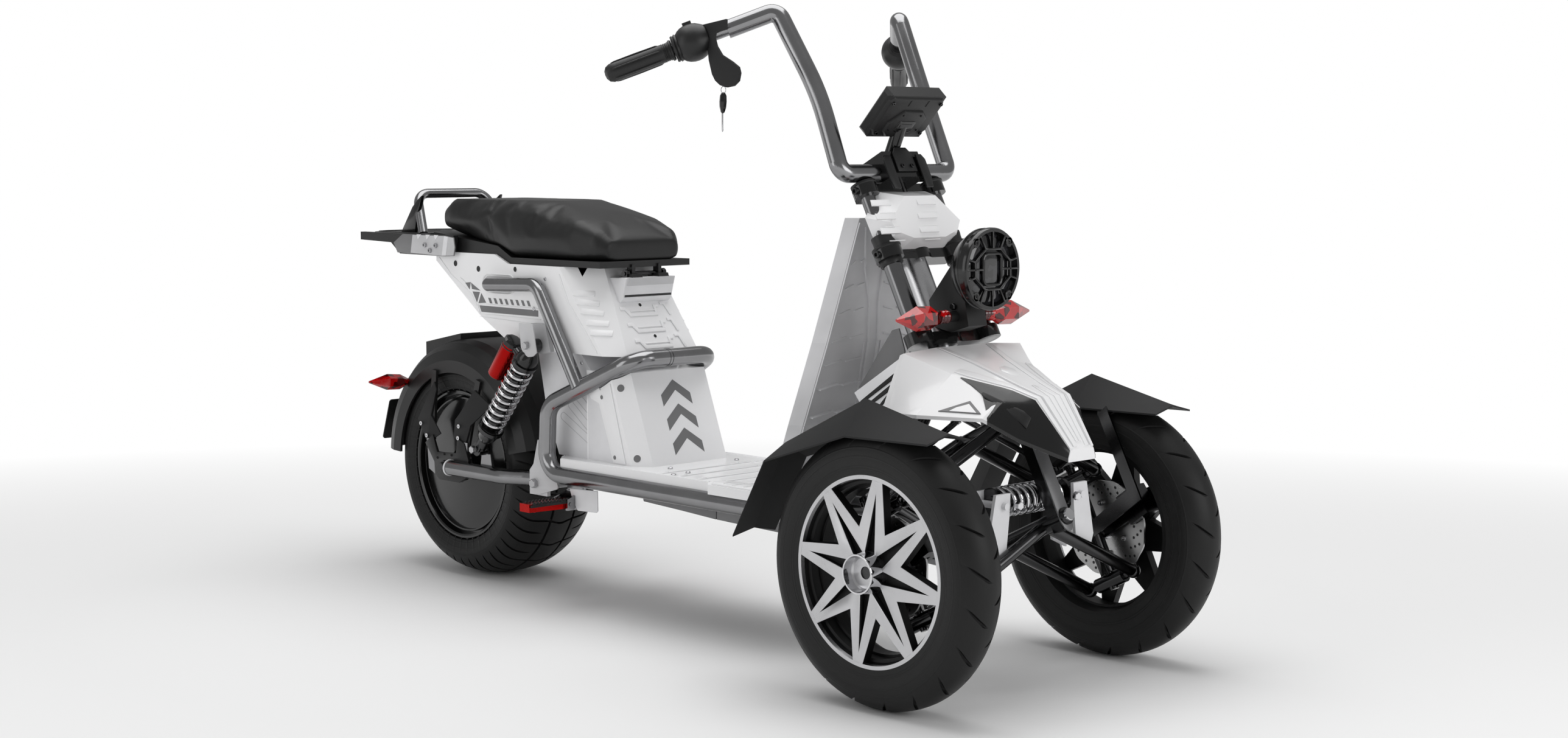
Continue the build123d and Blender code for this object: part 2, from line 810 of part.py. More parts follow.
# Double wishbones: each arm is two tubes from a pivot tube out to a ball at each end of its trunnion.
arm_radius = 11.0
arm_front_offset = 32.0  # along the pivot tube from its front end
arm_rear_offset = 132.0


def trunnion(side, reach):
    """Cylinder across the kingpin with a ball at each end."""
    center = kingpin_point(side, 0, reach)
    front = center - axis_rear * ball_offset
    rear = center + axis_rear * ball_offset
    with BuildPart() as piece:
        add(rod(front, rear, trunnion_radius - 5))
        add(rod(center - axis_rear * 32, center + axis_rear * 32, trunnion_radius))
        add(Solid.make_sphere(ball_radius, Plane(front), -90, 90, 360))
        add(Solid.make_sphere(ball_radius, Plane(rear), -90, 90, 360))
        bore_low = center - axis_up * 30
        bore_high = center + axis_up * 30
        add(rod(bore_low, bore_high, kingpin_tip_radius + running_gap), mode=Mode.SUBTRACT)
    return piece.part


def wishbone(side, pivot_front, reach):
    """Two-tube arm between a pivot tube and a trunnion's balls, with its inner sleeves."""
    center = kingpin_point(side, 0, reach)
    with BuildPart() as piece:
        for along, out in ((arm_front_offset, -ball_offset), (arm_rear_offset, ball_offset)):
            inner = pivot_front + axis_rear * along
            outer = center + axis_rear * out
            add(rod(inner, outer, arm_radius))
    return piece.part


with BuildPart() as trunnions:
    for side in (-1, 1):
        for reach in (-trunnion_reach, trunnion_reach):
            add(trunnion(side, reach))
with BuildPart() as wishbones:
    for side in (-1, 1):
        add(wishbone(side, lower_pivot_front, -trunnion_reach))
        add(wishbone(side, upper_pivot_front, trunnion_reach))
    add(front_frame.part, mode=Mode.SUBTRACT)
    add(trunnions.part, mode=Mode.SUBTRACT)
save(wishbones.part, "wishbones")

# Horizontal coil spring between two pairs of ears that stand on the lower arms.
spring_y = behind(-50)
spring_z = 318.0
spring_half = 78.0
spring_radius = 22.0
spring_wire = 4.5
spring_turns = 9
ear_x = 99.0
ear_y = -78.0
ear_thickness = 6.0
ear_outline = [(82, 338), (118, 338), (138, 246), (128, 218), (92, 234), (84, 300)]
with BuildPart() as spring_ears:
    for depth in (ear_y, -28.0):
        with BuildSketch(Plane(origin=at(0, depth, 0), x_dir=(1, 0, 0), z_dir=(0, -1, 0))):
            with BuildLine():
                Polyline(*ear_outline, close=True)
            make_face()
        extrude(amount=ear_thickness)
    add(rod(at(ear_x, ear_y - 14, spring_z), at(ear_x, -22, spring_z), 6))
    mirror(about=Plane.YZ)
    add(wishbones.part, mode=Mode.SUBTRACT)
spring_start = Vector(-spring_half, spring_y, spring_z)
spring_end = Vector(spring_half, spring_y, spring_z)
tilt_spring = coil_spring(spring_start, spring_end, spring_radius, spring_wire, spring_turns)
with BuildPart() as tilt_damper:
    add(rod((-ear_x + 6, spring_y, spring_z), (ear_x - 6, spring_y, spring_z), 12))
    add(rod((-spring_half - 12, spring_y, spring_z), (-spring_half - 4.6, spring_y, spring_z), spring_radius + 4))
    add(rod((spring_half + 4.6, spring_y, spring_z), (spring_half + 12, spring_y, spring_z), spring_radius + 4))
    add(spring_ears.part, mode=Mode.SUBTRACT)

# Hood: a low, faceted cover over the front frame, open below.

def hood_solid(inset):
    """Hood's outer form, or its hollow when drawn in by the wall."""
    stations = [
        (-166 + inset, [(22, 412), (30, 410), (34, 398)]),
        (-104, [(30, 493), (44, 491), (88, 430)]),
        (-60, [(36, 508), (56, 506), (126, 462)]),
        (26, [(50, 541), (104, 528), (190, 466)]),
        (92, [(70, 565), (150, 560), (190, 465)]),
        (104 + inset, [(70, 560), (146, 556), (190, 465)]),
    ]
    sections = []
    for distance, chain in stations:
        y = behind(distance)
        drop = 0 if inset == 0 else inset
        half = [(x - drop * 0.7, z - drop) for x, z in chain]
        foot = (half[-1][0] - drop * 0.5, 380.0 if drop else chain[-1][1] - 6)
        half.append(foot)
        outline = [(-x, y, z) for x, z in reversed(half)] + [(x, y, z) for x, z in half]
        sections.append(outline)
    return ruled_solid(sections)


with BuildPart() as hood:
    add(hood_solid(0))
    add(hood_solid(panel), mode=Mode.SUBTRACT)
    add(rod(steer_point(0, 0, head_tube_low - 60), steer_point(0, 0, brace_reach + 10), head_tube_radius + 8), mode=Mode.SUBTRACT)
with BuildPart() as front_frame_cut:
    add(front_frame.part)
    add(hood.part, mode=Mode.SUBTRACT)

# Leg shield: a tall tapered panel behind the fork.
leg_shield_sections = [
    (deck_top, 150, 388),
    (418, 160, 332),
    (562, 128, 306),
    (778, 52, 300),
]
with BuildPart() as leg_shield:
    for height, half, distance in leg_shield_sections:
        y = behind(distance)
        outer = [(-half, y + 24), (-half + 12, y), (half - 12, y), (half, y + 24)]
        inner = [(half - 4, y + 24), (half - 14, y + 4), (-half + 14, y + 4), (-half + 4, y + 24)]
        with BuildSketch(Plane.XY.offset(height)):
            with BuildLine():
                Polyline(*(outer + inner), close=True)
            make_face()
    loft(ruled=True)

save(front_frame_cut.part, "front_frame")
save(trunnions.part, "trunnions")
save(spring_ears.part, "spring_ears")
save(tilt_spring, "tilt_spring")
save(tilt_damper.part, "tilt_damper")
save(hood.part, "hood")
save(leg_shield.part, "leg_shield")


# ---- main frame: a loop round the battery box, seat tubes and brackets ----
loop_half = 150.0
loop_front_half = 98.0
loop_bend = 44.0
loop_low_z = 259.0
side_rear = 1050.0
pivot_height = 240.0
swing_pivot_distance = 1083.0
footpeg_inset = 66.0  # footpegs stand this far ahead of the loop's rear corner
footpeg_height = 210.0
footpeg_distance = side_rear - footpeg_inset

right_loop = [
    at(-24, 62, 196),
    at(-110, 300, 236),
    at(-loop_half, 440, loop_low_z),
    at(-loop_half, side_rear, loop_low_z + 3),
    at(-loop_half, side_rear - 8, 398),
    at(-loop_front_half, 838, 497),
]
loop_route = right_loop + [other_side(point) for point in reversed(right_loop)]
seat_tube_route = [at(-138, 962, 437), at(-135, 1094, 632), at(-135, 1252, 626)]
loop_tube = bent_tube(loop_route, loop_bend, frame_tube_radius)
right_seat_tube = bent_tube(seat_tube_route, 36, seat_tube_radius)
left_seat_tube = mirrored(right_seat_tube)
with BuildPart() as main_frame:
    add(loop_tube)
    add(right_seat_tube)
    add(left_seat_tube)
    add(rod(at(-104, 280, 236), at(104, 280, 236), 12))
    peg_rod_left = at(loop_half, footpeg_distance + 1, loop_low_z + 3)
    add(rod(other_side(peg_rod_left), peg_rod_left, 12))
    add(rod(at(-loop_half, 600, loop_low_z), at(loop_half, 600, loop_low_z), 10))
    for side in (-1, 1):
        with BuildSketch(side_plane(side * 128)):
            with BuildLine():
                Polyline(
                    (behind(footpeg_distance - 29), loop_low_z),
                    (behind(footpeg_distance + 26), loop_low_z),
                    (behind(footpeg_distance + 22), footpeg_height - 10),
                    (behind(footpeg_distance - 22), footpeg_height - 10),
                    close=True,
                )
            make_face()
        extrude(amount=3, both=True)
    add(front_frame_cut.part, mode=Mode.SUBTRACT)


def frame_fat(clearance):
    """The frame loop's tube with a clearance round it, for cutting what passes by."""
    return bent_tube(loop_route, loop_bend, frame_tube_radius + clearance)


# Folding footpegs: each turns up about a pin along the vehicle.
peg_pin_x = 160.0
peg_pin_radius = 4.0
peg_tip_x = 256.0
peg_half_width = 15.0


def footpeg(side):
    points = [(peg_pin_x - 9, -9), (peg_tip_x, -7), (peg_tip_x, 9), (peg_pin_x - 9, 9)]
    with BuildPart() as peg:
        with BuildSketch(Plane(origin=at(0, footpeg_distance, 0), x_dir=(1, 0, 0), z_dir=(0, -1, 0))):
            with BuildLine():
                Polyline(*[(side * x, footpeg_height + z) for x, z in points], close=True)
            make_face()
        extrude(amount=peg_half_width, both=True)
        pin_front = Vector(side * peg_pin_x, behind(footpeg_distance - 60), footpeg_height)
        pin_rear = Vector(side * peg_pin_x, behind(footpeg_distance + 60), footpeg_height)
        add(rod(pin_front, pin_rear, peg_pin_radius + running_gap), mode=Mode.SUBTRACT)
    return peg.part


def peg_clevis(side):
    """Two ears and a pin that carry a footpeg, on the frame's bracket."""
    outline = [(131, -12), (peg_pin_x + 8, -12), (peg_pin_x + 8, 10), (131, 22)]
    with BuildPart() as clevis:
        for offset in (-peg_half_width - 4, peg_half_width + 4):
            plane = Plane(origin=at(0, footpeg_distance + offset, 0), x_dir=(1, 0, 0), z_dir=(0, -1, 0))
            with BuildSketch(plane):
                with BuildLine():
                    Polyline(*[(side * x, footpeg_height + z) for x, z in outline], close=True)
                make_face()
            extrude(amount=3, both=True)
        with BuildSketch(side_plane(side * 133)):
            with Locations((behind(footpeg_distance), footpeg_height + 5)):
                Rectangle(2 * peg_half_width + 14, 34)
        extrude(amount=2, both=True)
        pin_front = Vector(side * peg_pin_x, behind(footpeg_distance - peg_half_width - 9), footpeg_height)
        pin_rear = Vector(side * peg_pin_x, behind(footpeg_distance + peg_half_width + 9), footpeg_height)
        add(rod(pin_front, pin_rear, peg_pin_radius))
    return clevis.part


for side, word in ((-1, "right"), (1, "left")):
    save(footpeg(side), f"footpeg_{word}")
with BuildPart() as whole_frame:
    add(main_frame.part)
    for side in (-1, 1):
        add(peg_clevis(side))
save(whole_frame.part, "main_frame")

# ---- deck, belly box, battery box and the cover behind it ----
deck_front = 398.0
deck_rear = 1040.0
wing_half_width = 172.0
deck_half_plan = [
    (118, deck_rear),
    (deck_half_width, deck_rear - 34),
    (deck_half_width, 574),
    (wing_half_width, 552),
    (wing_half_width, 440),
    (deck_half_width, 412),
    (130, deck_front),
]
deck_low = deck_top - deck_thickness
with BuildPart() as deck:
    with BuildSketch(Plane.XY.offset(deck_low)):
        with BuildLine():
            outline = [(x, behind(y)) for x, y in deck_half_plan]
            Polyline(*(outline + [(-x, y) for x, y in reversed(outline)]), close=True)
        make_face()
    extrude(amount=deck_thickness)
    add(frame_fat(0.2), mode=Mode.SUBTRACT)
    add(front_frame_cut.part, mode=Mode.SUBTRACT)

belly_half = 112.0
belly_profile = [(404, deck_low), (404, 224), (430, 214), (562, 217), (800, 229), (815, deck_low)]
with BuildPart() as belly_box:
    with BuildSketch(side_plane(0)):
        with BuildLine():
            Polyline(*[(behind(y), z) for y, z in belly_profile], close=True)
        make_face()
    extrude(amount=belly_half, both=True)
    add(main_frame.part, mode=Mode.SUBTRACT)
    add(front_frame_cut.part, mode=Mode.SUBTRACT)

battery_front_half = 95.0
battery_half = 119.0
battery_top = 470.0
battery_rear = 960.0
battery_plans = [(deck_top, 790, 34), (battery_top, 856, 34)]
with BuildPart() as battery_box:
    for height, front, depth in battery_plans:
        half = [
            (battery_front_half, behind(front)),
            (battery_half, behind(front + depth)),
            (battery_half, behind(battery_rear)),
        ]
        with BuildSketch(Plane.XY.offset(height)):
            with BuildLine():
                Polyline(*(half + [(-x, y) for x, y in reversed(half)]), close=True)
            make_face()
    loft(ruled=True)
    add(frame_fat(1.0), mode=Mode.SUBTRACT)
    add(main_frame.part, mode=Mode.SUBTRACT)

with BuildPart() as inner_cover:
    with BuildSketch(side_plane(0)):
        with BuildLine():
            Polyline(
                (behind(battery_rear), deck_top),
                (behind(1062), deck_top),
                (behind(1100), 380),
                (behind(1128), 505),
                (behind(990), 500),
                (behind(battery_rear), 468),
                close=True,
            )
        make_face()
    extrude(amount=108, both=True)
    add(main_frame.part, mode=Mode.SUBTRACT)
save(deck.part, "deck")
save(belly_box.part, "belly_box")
save(battery_box.part, "battery_box")
save(inner_cover.part, "inner_cover")

# ---- body under the seat ----
body_half = 121.0
body_wall = 4.0
body_low_front = 500.0
body_profile = [
    (868, body_low_front),
    (966, 669),
    (1205, 669),
    (1250, 687),
    (body_rear, 687),
    (body_rear, 668),
    (1300, 560),
    (1214, 515),
    (1080, body_low_front),
]
cavity_profile = [(990, 690), (1010, 540), (1195, 540), (1290, 590), (1400, 660), (1400, 690)]


def profile_solid(points, half):
    """Solid of one side outline, as wide as twice the half width."""
    with BuildPart() as block:
        with BuildSketch(side_plane(0)):
            with BuildLine():
                Polyline(*[(behind(y), z) for y, z in points], close=True)
            make_face()
        extrude(amount=half, both=True)
    return block.part


def corner_wedge():
    """What is cut off the body's front corners, so that its front narrows upwards."""
    with BuildPart() as wedge:
        for height, near, front in ((490, 93, 862), (700, 64, 985)):
            with BuildSketch(Plane.XY.offset(height)):
                with BuildLine():
                    Polyline(
                        (near - 14, behind(front - 20)),
                        (near + 14 + (body_half - near), behind(front + 20 + (body_half - near) * 1.4)),
                        (near + 90, behind(front - 20)),
                        close=True,
                    )
                make_face()
        loft(ruled=True)
    return wedge.part


wedge = corner_wedge()
with BuildPart() as body_whole:
    add(profile_solid(body_profile, body_half))
    add(wedge, mode=Mode.SUBTRACT)
    add(mirrored(wedge), mode=Mode.SUBTRACT)
    add(profile_solid(cavity_profile, body_half - 22), mode=Mode.SUBTRACT)
    add(main_frame.part, mode=Mode.SUBTRACT)
    add(inner_cover.part, mode=Mode.SUBTRACT)
side_cut = body_half - body_wall - 14
body_side_right = cut_end(body_whole.part, Plane(origin=(-side_cut, 0, 0), z_dir=(1, 0, 0)), Keep.BOTTOM)
body_side_left = cut_end(body_whole.part, Plane(origin=(side_cut, 0, 0), z_dir=(1, 0, 0)), Keep.TOP)
body_middle = cut_end(
    cut_end(body_whole.part, Plane(origin=(-side_cut, 0, 0), z_dir=(1, 0, 0)), Keep.TOP),
    Plane(origin=(side_cut, 0, 0), z_dir=(1, 0, 0)),
    Keep.BOTTOM,
)
save(body_side_right, "body_side_right")
save(body_side_left, "body_side_left")
save(body_middle, "body_core")


# ---- seat: a lid on a front hinge, over the open body ----
seat_front = 921.0
seat_rear = 1467.0
seat_step_front = 1200.0
seat_step_rear = 1245.0
body_rim = 669.0
body_rim_rear = 687.0
pan_half = 116.0
hinge_distance = 925.0
hinge_height = 657.0
hinge_pin_radius = 4.0
hinge_knuckle_radius = 8.0
pan_lug_x = 34.0
hinge_lug_x = 47.0
latch_half = 60.0


def hinge_lug(x, half, low, high):
    """Lug beside the seat's hinge pin: a round eye and the web that carries it."""
    with BuildPart() as lug:
        with BuildSketch(side_plane(x)):
            with Locations((behind(hinge_distance), hinge_height)):
                Circle(hinge_knuckle_radius)
            with Locations((behind(hinge_distance), (low + high) / 2)):
                Rectangle(2 * hinge_knuckle_radius, high - low)
        extrude(amount=half, both=True)
    return lug.part


with BuildPart() as seat_pan:
    pan_profile = [
        (seat_front, body_rim + seat_gap),
        (seat_step_front + 4.5, body_rim + seat_gap),
        (seat_step_rear + 4.5, body_rim_rear + seat_gap),
        (seat_rear, body_rim_rear + seat_gap),
        (seat_rear, 727),
        (seat_step_rear, 704),
        (seat_step_front, 682),
        (seat_front, 682),
    ]
    add(profile_solid(pan_profile, pan_half))
    for x in (-pan_lug_x, pan_lug_x):
        add(hinge_lug(x, 4, hinge_height, 675))
    pin_end = 60.0
    bore = rod(at(-pin_end, hinge_distance, hinge_height), at(pin_end, hinge_distance, hinge_height), 4.3)
    add(bore, mode=Mode.SUBTRACT)

with BuildPart() as seat_hinge:
    latch_profile = [(940, 604), (913, 612), (914, 632), (922, 639), (952, 643)]
    add(profile_solid(latch_profile, latch_half))
    for x in (-hinge_lug_x, hinge_lug_x):
        add(hinge_lug(x, 4, 634, hinge_height))
    pin_end = hinge_lug_x + 6
    add(rod(at(-pin_end, hinge_distance, hinge_height), at(pin_end, hinge_distance, hinge_height), hinge_pin_radius))
    add(body_whole.part, mode=Mode.SUBTRACT)

# distance behind the front axle, half width, underside, top, corner radius
cushion_sections = [
    (921, 94, 682, 722, 16),
    (945, 112, 682, 747, 26),
    (1000, 125, 682, 765, 32),
    (1153, 130, 682, 792, 40),
    (1200, 130, 682, 795, 40),
    (1250, 128, 700, 796, 38),
    (1360, 117, 710, 797, 34),
    (1430, 113, 716, 794, 30),
    (1467, 100, 724, 770, 18),
]
with BuildPart() as seat_cushion:
    for distance, half, low, high, corner in cushion_sections:
        plane = Plane(origin=at(0, distance, (low + high) / 2), x_dir=(1, 0, 0), z_dir=(0, -1, 0))
        with BuildSketch(plane):
            RectangleRounded(2 * half, high - low, corner)
    loft(ruled=True)
    add(seat_pan.part, mode=Mode.SUBTRACT)
save(seat_pan.part, "seat_pan")
save(seat_cushion.part, "seat_cushion")
save(seat_hinge.part, "seat_hinge")

# ---- rack and grab rail ----
rack_top = 722.0
rack_thickness = 18.0
rack_half = 121.0
rack_corner = 60.0
rack_bracket_thickness = 12.0
rack_hole_radius = 3.5
rack_hole_x = 60.0
rack_hole_pitch = 120.0
grab_radius = 10.0
bracket_profile = [
    (-107, 0),
    (-100, -32),
    (-76, -44),
    (87, -43),
    (120, -20),
    (rack_length - 5, -17),
    (rack_length - 5, 0),
]  # from the rack's front edge and its top face
rack_middle = behind(rack_front + rack_length / 2)
with BuildPart() as rack:
    with BuildSketch(Plane.XY.offset(rack_top - rack_thickness)):
        with Locations((0, rack_middle)):
            Rectangle(2 * rack_half, rack_length)
        fillet(vertices().sort_by(Axis.Y)[-2:], radius=rack_corner)
    extrude(amount=rack_thickness)
    with BuildSketch(Plane.XY.offset(rack_top)):
        with Locations((0, rack_middle)):
            with GridLocations(2 * rack_hole_x, rack_hole_pitch, 2, 2):
                Circle(rack_hole_radius)
    extrude(amount=-rack_thickness, mode=Mode.SUBTRACT)
    for side in (-1, 1):
        with BuildSketch(side_plane(side * (rack_half + rack_bracket_thickness / 2))):
            with BuildLine():
                Polyline(*[(behind(rack_front + y), rack_top + z) for y, z in bracket_profile], close=True)
            make_face()
        extrude(amount=rack_bracket_thickness / 2, both=True)

grab_foot = at(105, rack_front + 40, rack_top)
grab_corner = at(90, rack_front + 83, rack_top + 84)
grab_route = [other_side(grab_foot), other_side(grab_corner), grab_corner, grab_foot]
with BuildPart() as grab_rail:
    add(bent_tube(grab_route, 34, grab_radius))
    add(rack.part, mode=Mode.SUBTRACT)
save(rack.part, "rack")
save(grab_rail.part, "grab_rail")

# ---- rear wheel ----
rear_bead_half = 100.0
rear_tyre_shoulder = 46.0
rear_axle_radius = 10.0
hub_end = 98.0
rear_middle = Vector(0, rear_axle_y, rear_tyre_radius)
hub_half = [
    (0, rear_rim_radius),
    (rear_bead_half, rear_rim_radius),
    (rear_bead_half, rear_rim_radius - 11),
    (86, rear_rim_radius - 18),
    (86, 114),
    (93, 106),
    (93, 40),
    (hub_end, 34),
    (hub_end, rear_axle_radius + running_gap),
    (0, rear_axle_radius + running_gap),
]
with BuildPart() as rear_hub:
    add(ring_about_x(rear_middle, hub_half))
    mirror(about=Plane.YZ)
rear_tyre = tyre(
    rear_middle, rear_tyre_radius, rear_tyre_width, rear_tyre_shoulder, rear_rim_radius, rear_bead_half
)
save(rear_hub.part, "rear_hub")
save(rear_tyre, "rear_tyre")

# ---- swingarm ----
arm_radius = 16.0
arm_x = 138.0
axle_plate_x = 125.5
axle_plate_thickness = 5.0
axle_plate = [
    (1345, 224),
    (1342, 292),
    (1362, 292),
    (1376, 262),
    (1452, 262),
    (1466, 290),
    (1486, 290),
    (1480, 226),
    (1440, 208),
    (1370, 208),
]
arm_route = [at(-108, swing_pivot_distance, 240), at(-120, 1150, 239), at(-arm_x, 1215, 237), at(-arm_x, 1388, 237)]
shock_x = 148.0
shock_top = (1088, 512)
shock_low = (1270, 289)
right_arm = bent_tube(arm_route, 60, arm_radius)
left_arm = mirrored(right_arm)
pivot_left = at(-134, swing_pivot_distance, pivot_height)
with BuildPart() as swingarm:
    add(right_arm)
    add(left_arm)
    add(rod(pivot_left, other_side(pivot_left), 18))
    axle_end = at(-140, wheelbase, rear_tyre_radius)
    add(rod(axle_end, other_side(axle_end), rear_axle_radius))
    for side in (-1, 1):
        with BuildSketch(side_plane(side * axle_plate_x)):
            with BuildLine():
                Polyline(*[(behind(y), z) for y, z in axle_plate], close=True)
            make_face()
        extrude(amount=axle_plate_thickness / 2, both=True)
        add(rod(at(side * 99.5, wheelbase, rear_tyre_radius), at(side * 124, wheelbase, rear_tyre_radius), 17))
        add(rod(at(side * 122, *shock_low), at(side * (shock_x + 16), *shock_low), 6))
        with BuildSketch(side_plane(side * 130)):
            with BuildLine():
                Polyline(
                    (behind(1250), 240),
                    (behind(1292), 240),
                    (behind(1282), 298),
                    (behind(1260), 298),
                    close=True,
                )
            make_face()
        extrude(amount=3, both=True)
    add(main_frame.part, mode=Mode.SUBTRACT)

# Light plates that join the frame loop and the swingarm's pivot.
with BuildPart() as pivot_plates:
    for side in (-1, 1):
        with BuildSketch(side_plane(side * 143)):
            with BuildLine():
                Polyline(
                    (behind(1052), 300),
                    (behind(1072), 300),
                    (behind(1108), 262),
                    (behind(1108), 214),
                    (behind(1052), 214),
                    close=True,
                )
            make_face()
        extrude(amount=4, both=True)
        add(rod(at(side * 134, swing_pivot_distance, pivot_height), at(side * 152, swing_pivot_distance, pivot_height), 9))
    add(main_frame.part, mode=Mode.SUBTRACT)
    add(swingarm.part, mode=Mode.SUBTRACT)

# ---- shocks with a coil and a reservoir beside them ----
shock_body_radius = 13.0
shock_eye_radius = 12.0
shock_cap_radius = 27.0
coil_radius = 22.0
coil_wire = 3.6
coil_turns = 10
coil_start = 52.0
coil_end = 226.0
cap_thickness = 8.0
reservoir_radius = 18.0
reservoir_offset = 55.0
reservoir_start = 38.0
reservoir_end = 130.0


def shock_point(side, along, aside=0.0):
    """Point along a shock from its upper bolt, or off to the rear of that line."""
    top = at(side * shock_x, *shock_top)
    low = at(side * shock_x, *shock_low)
    run = (low - top).normalized()
    return top + run * along + Vector(0, -run.Z, run.Y) * aside


def shock(side):
    full = (at(0, *shock_low) - at(0, *shock_top)).length
    eye = Vector(10, 0, 0)
    bolt = Vector(18, 0, 0)
    with BuildPart() as damper:
        add(rod(shock_point(side, 0), shock_point(side, full), shock_body_radius))
        for along in (0, full):
            middle = shock_point(side, along)
            add(rod(middle - eye, middle + eye, shock_eye_radius + 2))
        for along in (coil_start - cap_thickness, coil_end):
            add(rod(shock_point(side, along), shock_point(side, along + cap_thickness), shock_cap_radius))
        add(rod(shock_point(side, reservoir_start, reservoir_offset), shock_point(side, reservoir_end, reservoir_offset), reservoir_radius))
        add(rod(shock_point(side, reservoir_start + 8), shock_point(side, reservoir_start + 8, reservoir_offset), 9))
        add(swingarm.part, mode=Mode.SUBTRACT)
        add(rod(shock_point(side, 0) - bolt, shock_point(side, 0) + bolt, 6), mode=Mode.SUBTRACT)
    return damper.part


def shock_coil(side):
    start = shock_point(side, coil_start + coil_wire + 0.3)
    end = shock_point(side, coil_end - coil_wire - 0.3)
    return coil_spring(start, end, coil_radius, coil_wire, coil_turns)


with BuildPart() as shocks:
    for side in (-1, 1):
        add(shock(side))
with BuildPart() as shock_springs:
    for side in (-1, 1):
        add(shock_coil(side))

with BuildPart() as shock_mounts:
    for side in (-1, 1):
        with BuildSketch(side_plane(side * (body_half + 5))):
            with BuildLine():
                Polyline(
                    (behind(1058), 500),
                    (behind(1074), 554),
                    (behind(1120), 554),
                    (behind(1112), 500),
                    (behind(1088), 494),
                    close=True,
                )
            make_face()
        extrude(amount=5, both=True)
        add(rod(at(side * body_half, *shock_top), at(side * (shock_x + 16), *shock_top), 6))
    add(main_frame.part, mode=Mode.SUBTRACT)
save(swingarm.part, "swingarm")
save(shocks.part, "shocks")
save(shock_springs.part, "shock_springs")
with BuildPart() as rear_brackets:
    add(pivot_plates.part)
    add(shock_mounts.part)
save(rear_brackets.part, "rear_brackets")

# ---- rear fender, its stays, the blank plate and the rear lights ----
fender_outer = 263.0
fender_wall = 5.0
fender_half = 117.0
fender_skirt_radius = 195.0
fender_rear_angle = 3.0
fender_front_angle = 168.0
stay_thickness = 6.0
stay_lines = [((-54, 288), (-96, 424)), ((70, 288), (58, 436))]  # behind the rear axle, height
fender_shoulder = [(0, 42), (8, 20), (24, 6), (46, 0)]  # in from the side, down from the crown


def fender_side(inset):
    """Half of the fender's section from its skirt to its crown, drawn in by an inset."""
    corners = [(fender_half - inset, fender_skirt_radius)]
    for inward, drop in fender_shoulder:
        corners.append((fender_half - inset - inward, fender_outer - inset - drop))
    return corners


outer_side = fender_side(0)
inner_side = fender_side(fender_wall)
fender_section = outer_side + [(-x, radius) for x, radius in reversed(outer_side)]
fender_section += [(-x, radius) for x, radius in inner_side] + inner_side[::-1]
rise = radians(fender_rear_angle)


def behind_rear_axle(corners):
    """Corners given behind the rear axle, as ones behind the front axle."""
    return [(wheelbase + distance, height) for distance, height in corners]


with BuildPart() as rear_fender:
    with BuildSketch(Plane(origin=rear_middle, x_dir=(1, 0, 0), z_dir=(0, -sin(rise), cos(rise)))):
        with BuildLine():
            Polyline(*fender_section, close=True)
        make_face()
    revolve(
        axis=Axis(rear_middle, (1, 0, 0)),
        revolution_arc=fender_front_angle - fender_rear_angle,
    )
    for side in (-1, 1):
        for low, high in stay_lines:
            low_point = Vector(rear_axle_y + low[0], low[1], 0)
            high_point = Vector(rear_axle_y + high[0], high[1], 0)
            along = (high_point - low_point).normalized()
            across = Vector(-along.Y, along.X, 0) * 8
            corners = [low_point + across, low_point - across, high_point - across, high_point + across]
            with BuildSketch(side_plane(side * (fender_half + stay_thickness / 2))):
                with BuildLine():
                    Polyline(*[(corner.X, corner.Y) for corner in corners], close=True)
                make_face()
            extrude(amount=stay_thickness / 2, both=True)
    box = profile_solid(behind_rear_axle([(34, 470), (34, 512), (160, 487), (160, 430)]), 70)
    with BuildPart(mode=Mode.PRIVATE) as tail_box:
        add(box)
        add(rod(rear_middle - Vector(80, 0, 0), rear_middle + Vector(80, 0, 0), fender_outer - 1), mode=Mode.SUBTRACT)
    add(tail_box.part)
    add(swingarm.part, mode=Mode.SUBTRACT)

plate_low = (wheelbase + 303, 266)
plate_high = (wheelbase + 273, 354)
plate_thickness = 2.5
plate_half = 90.0
with BuildPart() as number_plate:
    slope = Vector(0, plate_high[0] - plate_low[0], plate_high[1] - plate_low[1])
    face = Vector(0, slope.Z, -slope.Y).normalized()
    middle = at(0, (plate_low[0] + plate_high[0]) / 2, (plate_low[1] + plate_high[1]) / 2)
    with BuildSketch(Plane(origin=middle, x_dir=(1, 0, 0), z_dir=face)):
        RectangleRounded(2 * plate_half, slope.length, 6)
    extrude(amount=-plate_thickness)
with BuildPart() as plate_bracket:
    add(profile_solid(behind_rear_axle([(244, 296), (240, 338), (278, 344), (294, 296)]), 30))
    add(rear_fender.part, mode=Mode.SUBTRACT)
    add(rod(rear_middle - Vector(40, 0, 0), rear_middle + Vector(40, 0, 0), fender_outer), mode=Mode.SUBTRACT)
    with BuildSketch(Plane(origin=middle - face * plate_thickness, x_dir=(1, 0, 0), z_dir=face)):
        Rectangle(200, 200)
    extrude(amount=60, mode=Mode.SUBTRACT)

with BuildPart() as tail_light:
    add(profile_solid([(1438, 664), (1386, 627), (1397, 611), (1449, 648)], 46))
    add(body_whole.part, mode=Mode.SUBTRACT)

with BuildPart() as rear_indicators:
    for side in (-1, 1):
        add(crystal(at(side * (fender_half - 7), wheelbase + 171, 402), Vector(side, 0.02, 0.06), 99, 17))
    add(rear_fender.part, mode=Mode.SUBTRACT)
with BuildPart() as whole_fender:
    add(rear_fender.part)
    add(plate_bracket.part)
save(whole_fender.part, "rear_fender")
save(number_plate.part, "number_plate")
save(tail_light.part, "tail_light")
save(rear_indicators.part, "rear_indicators")
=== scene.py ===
import math
import bmesh
import bpy
from mathutils import Matrix, Vector


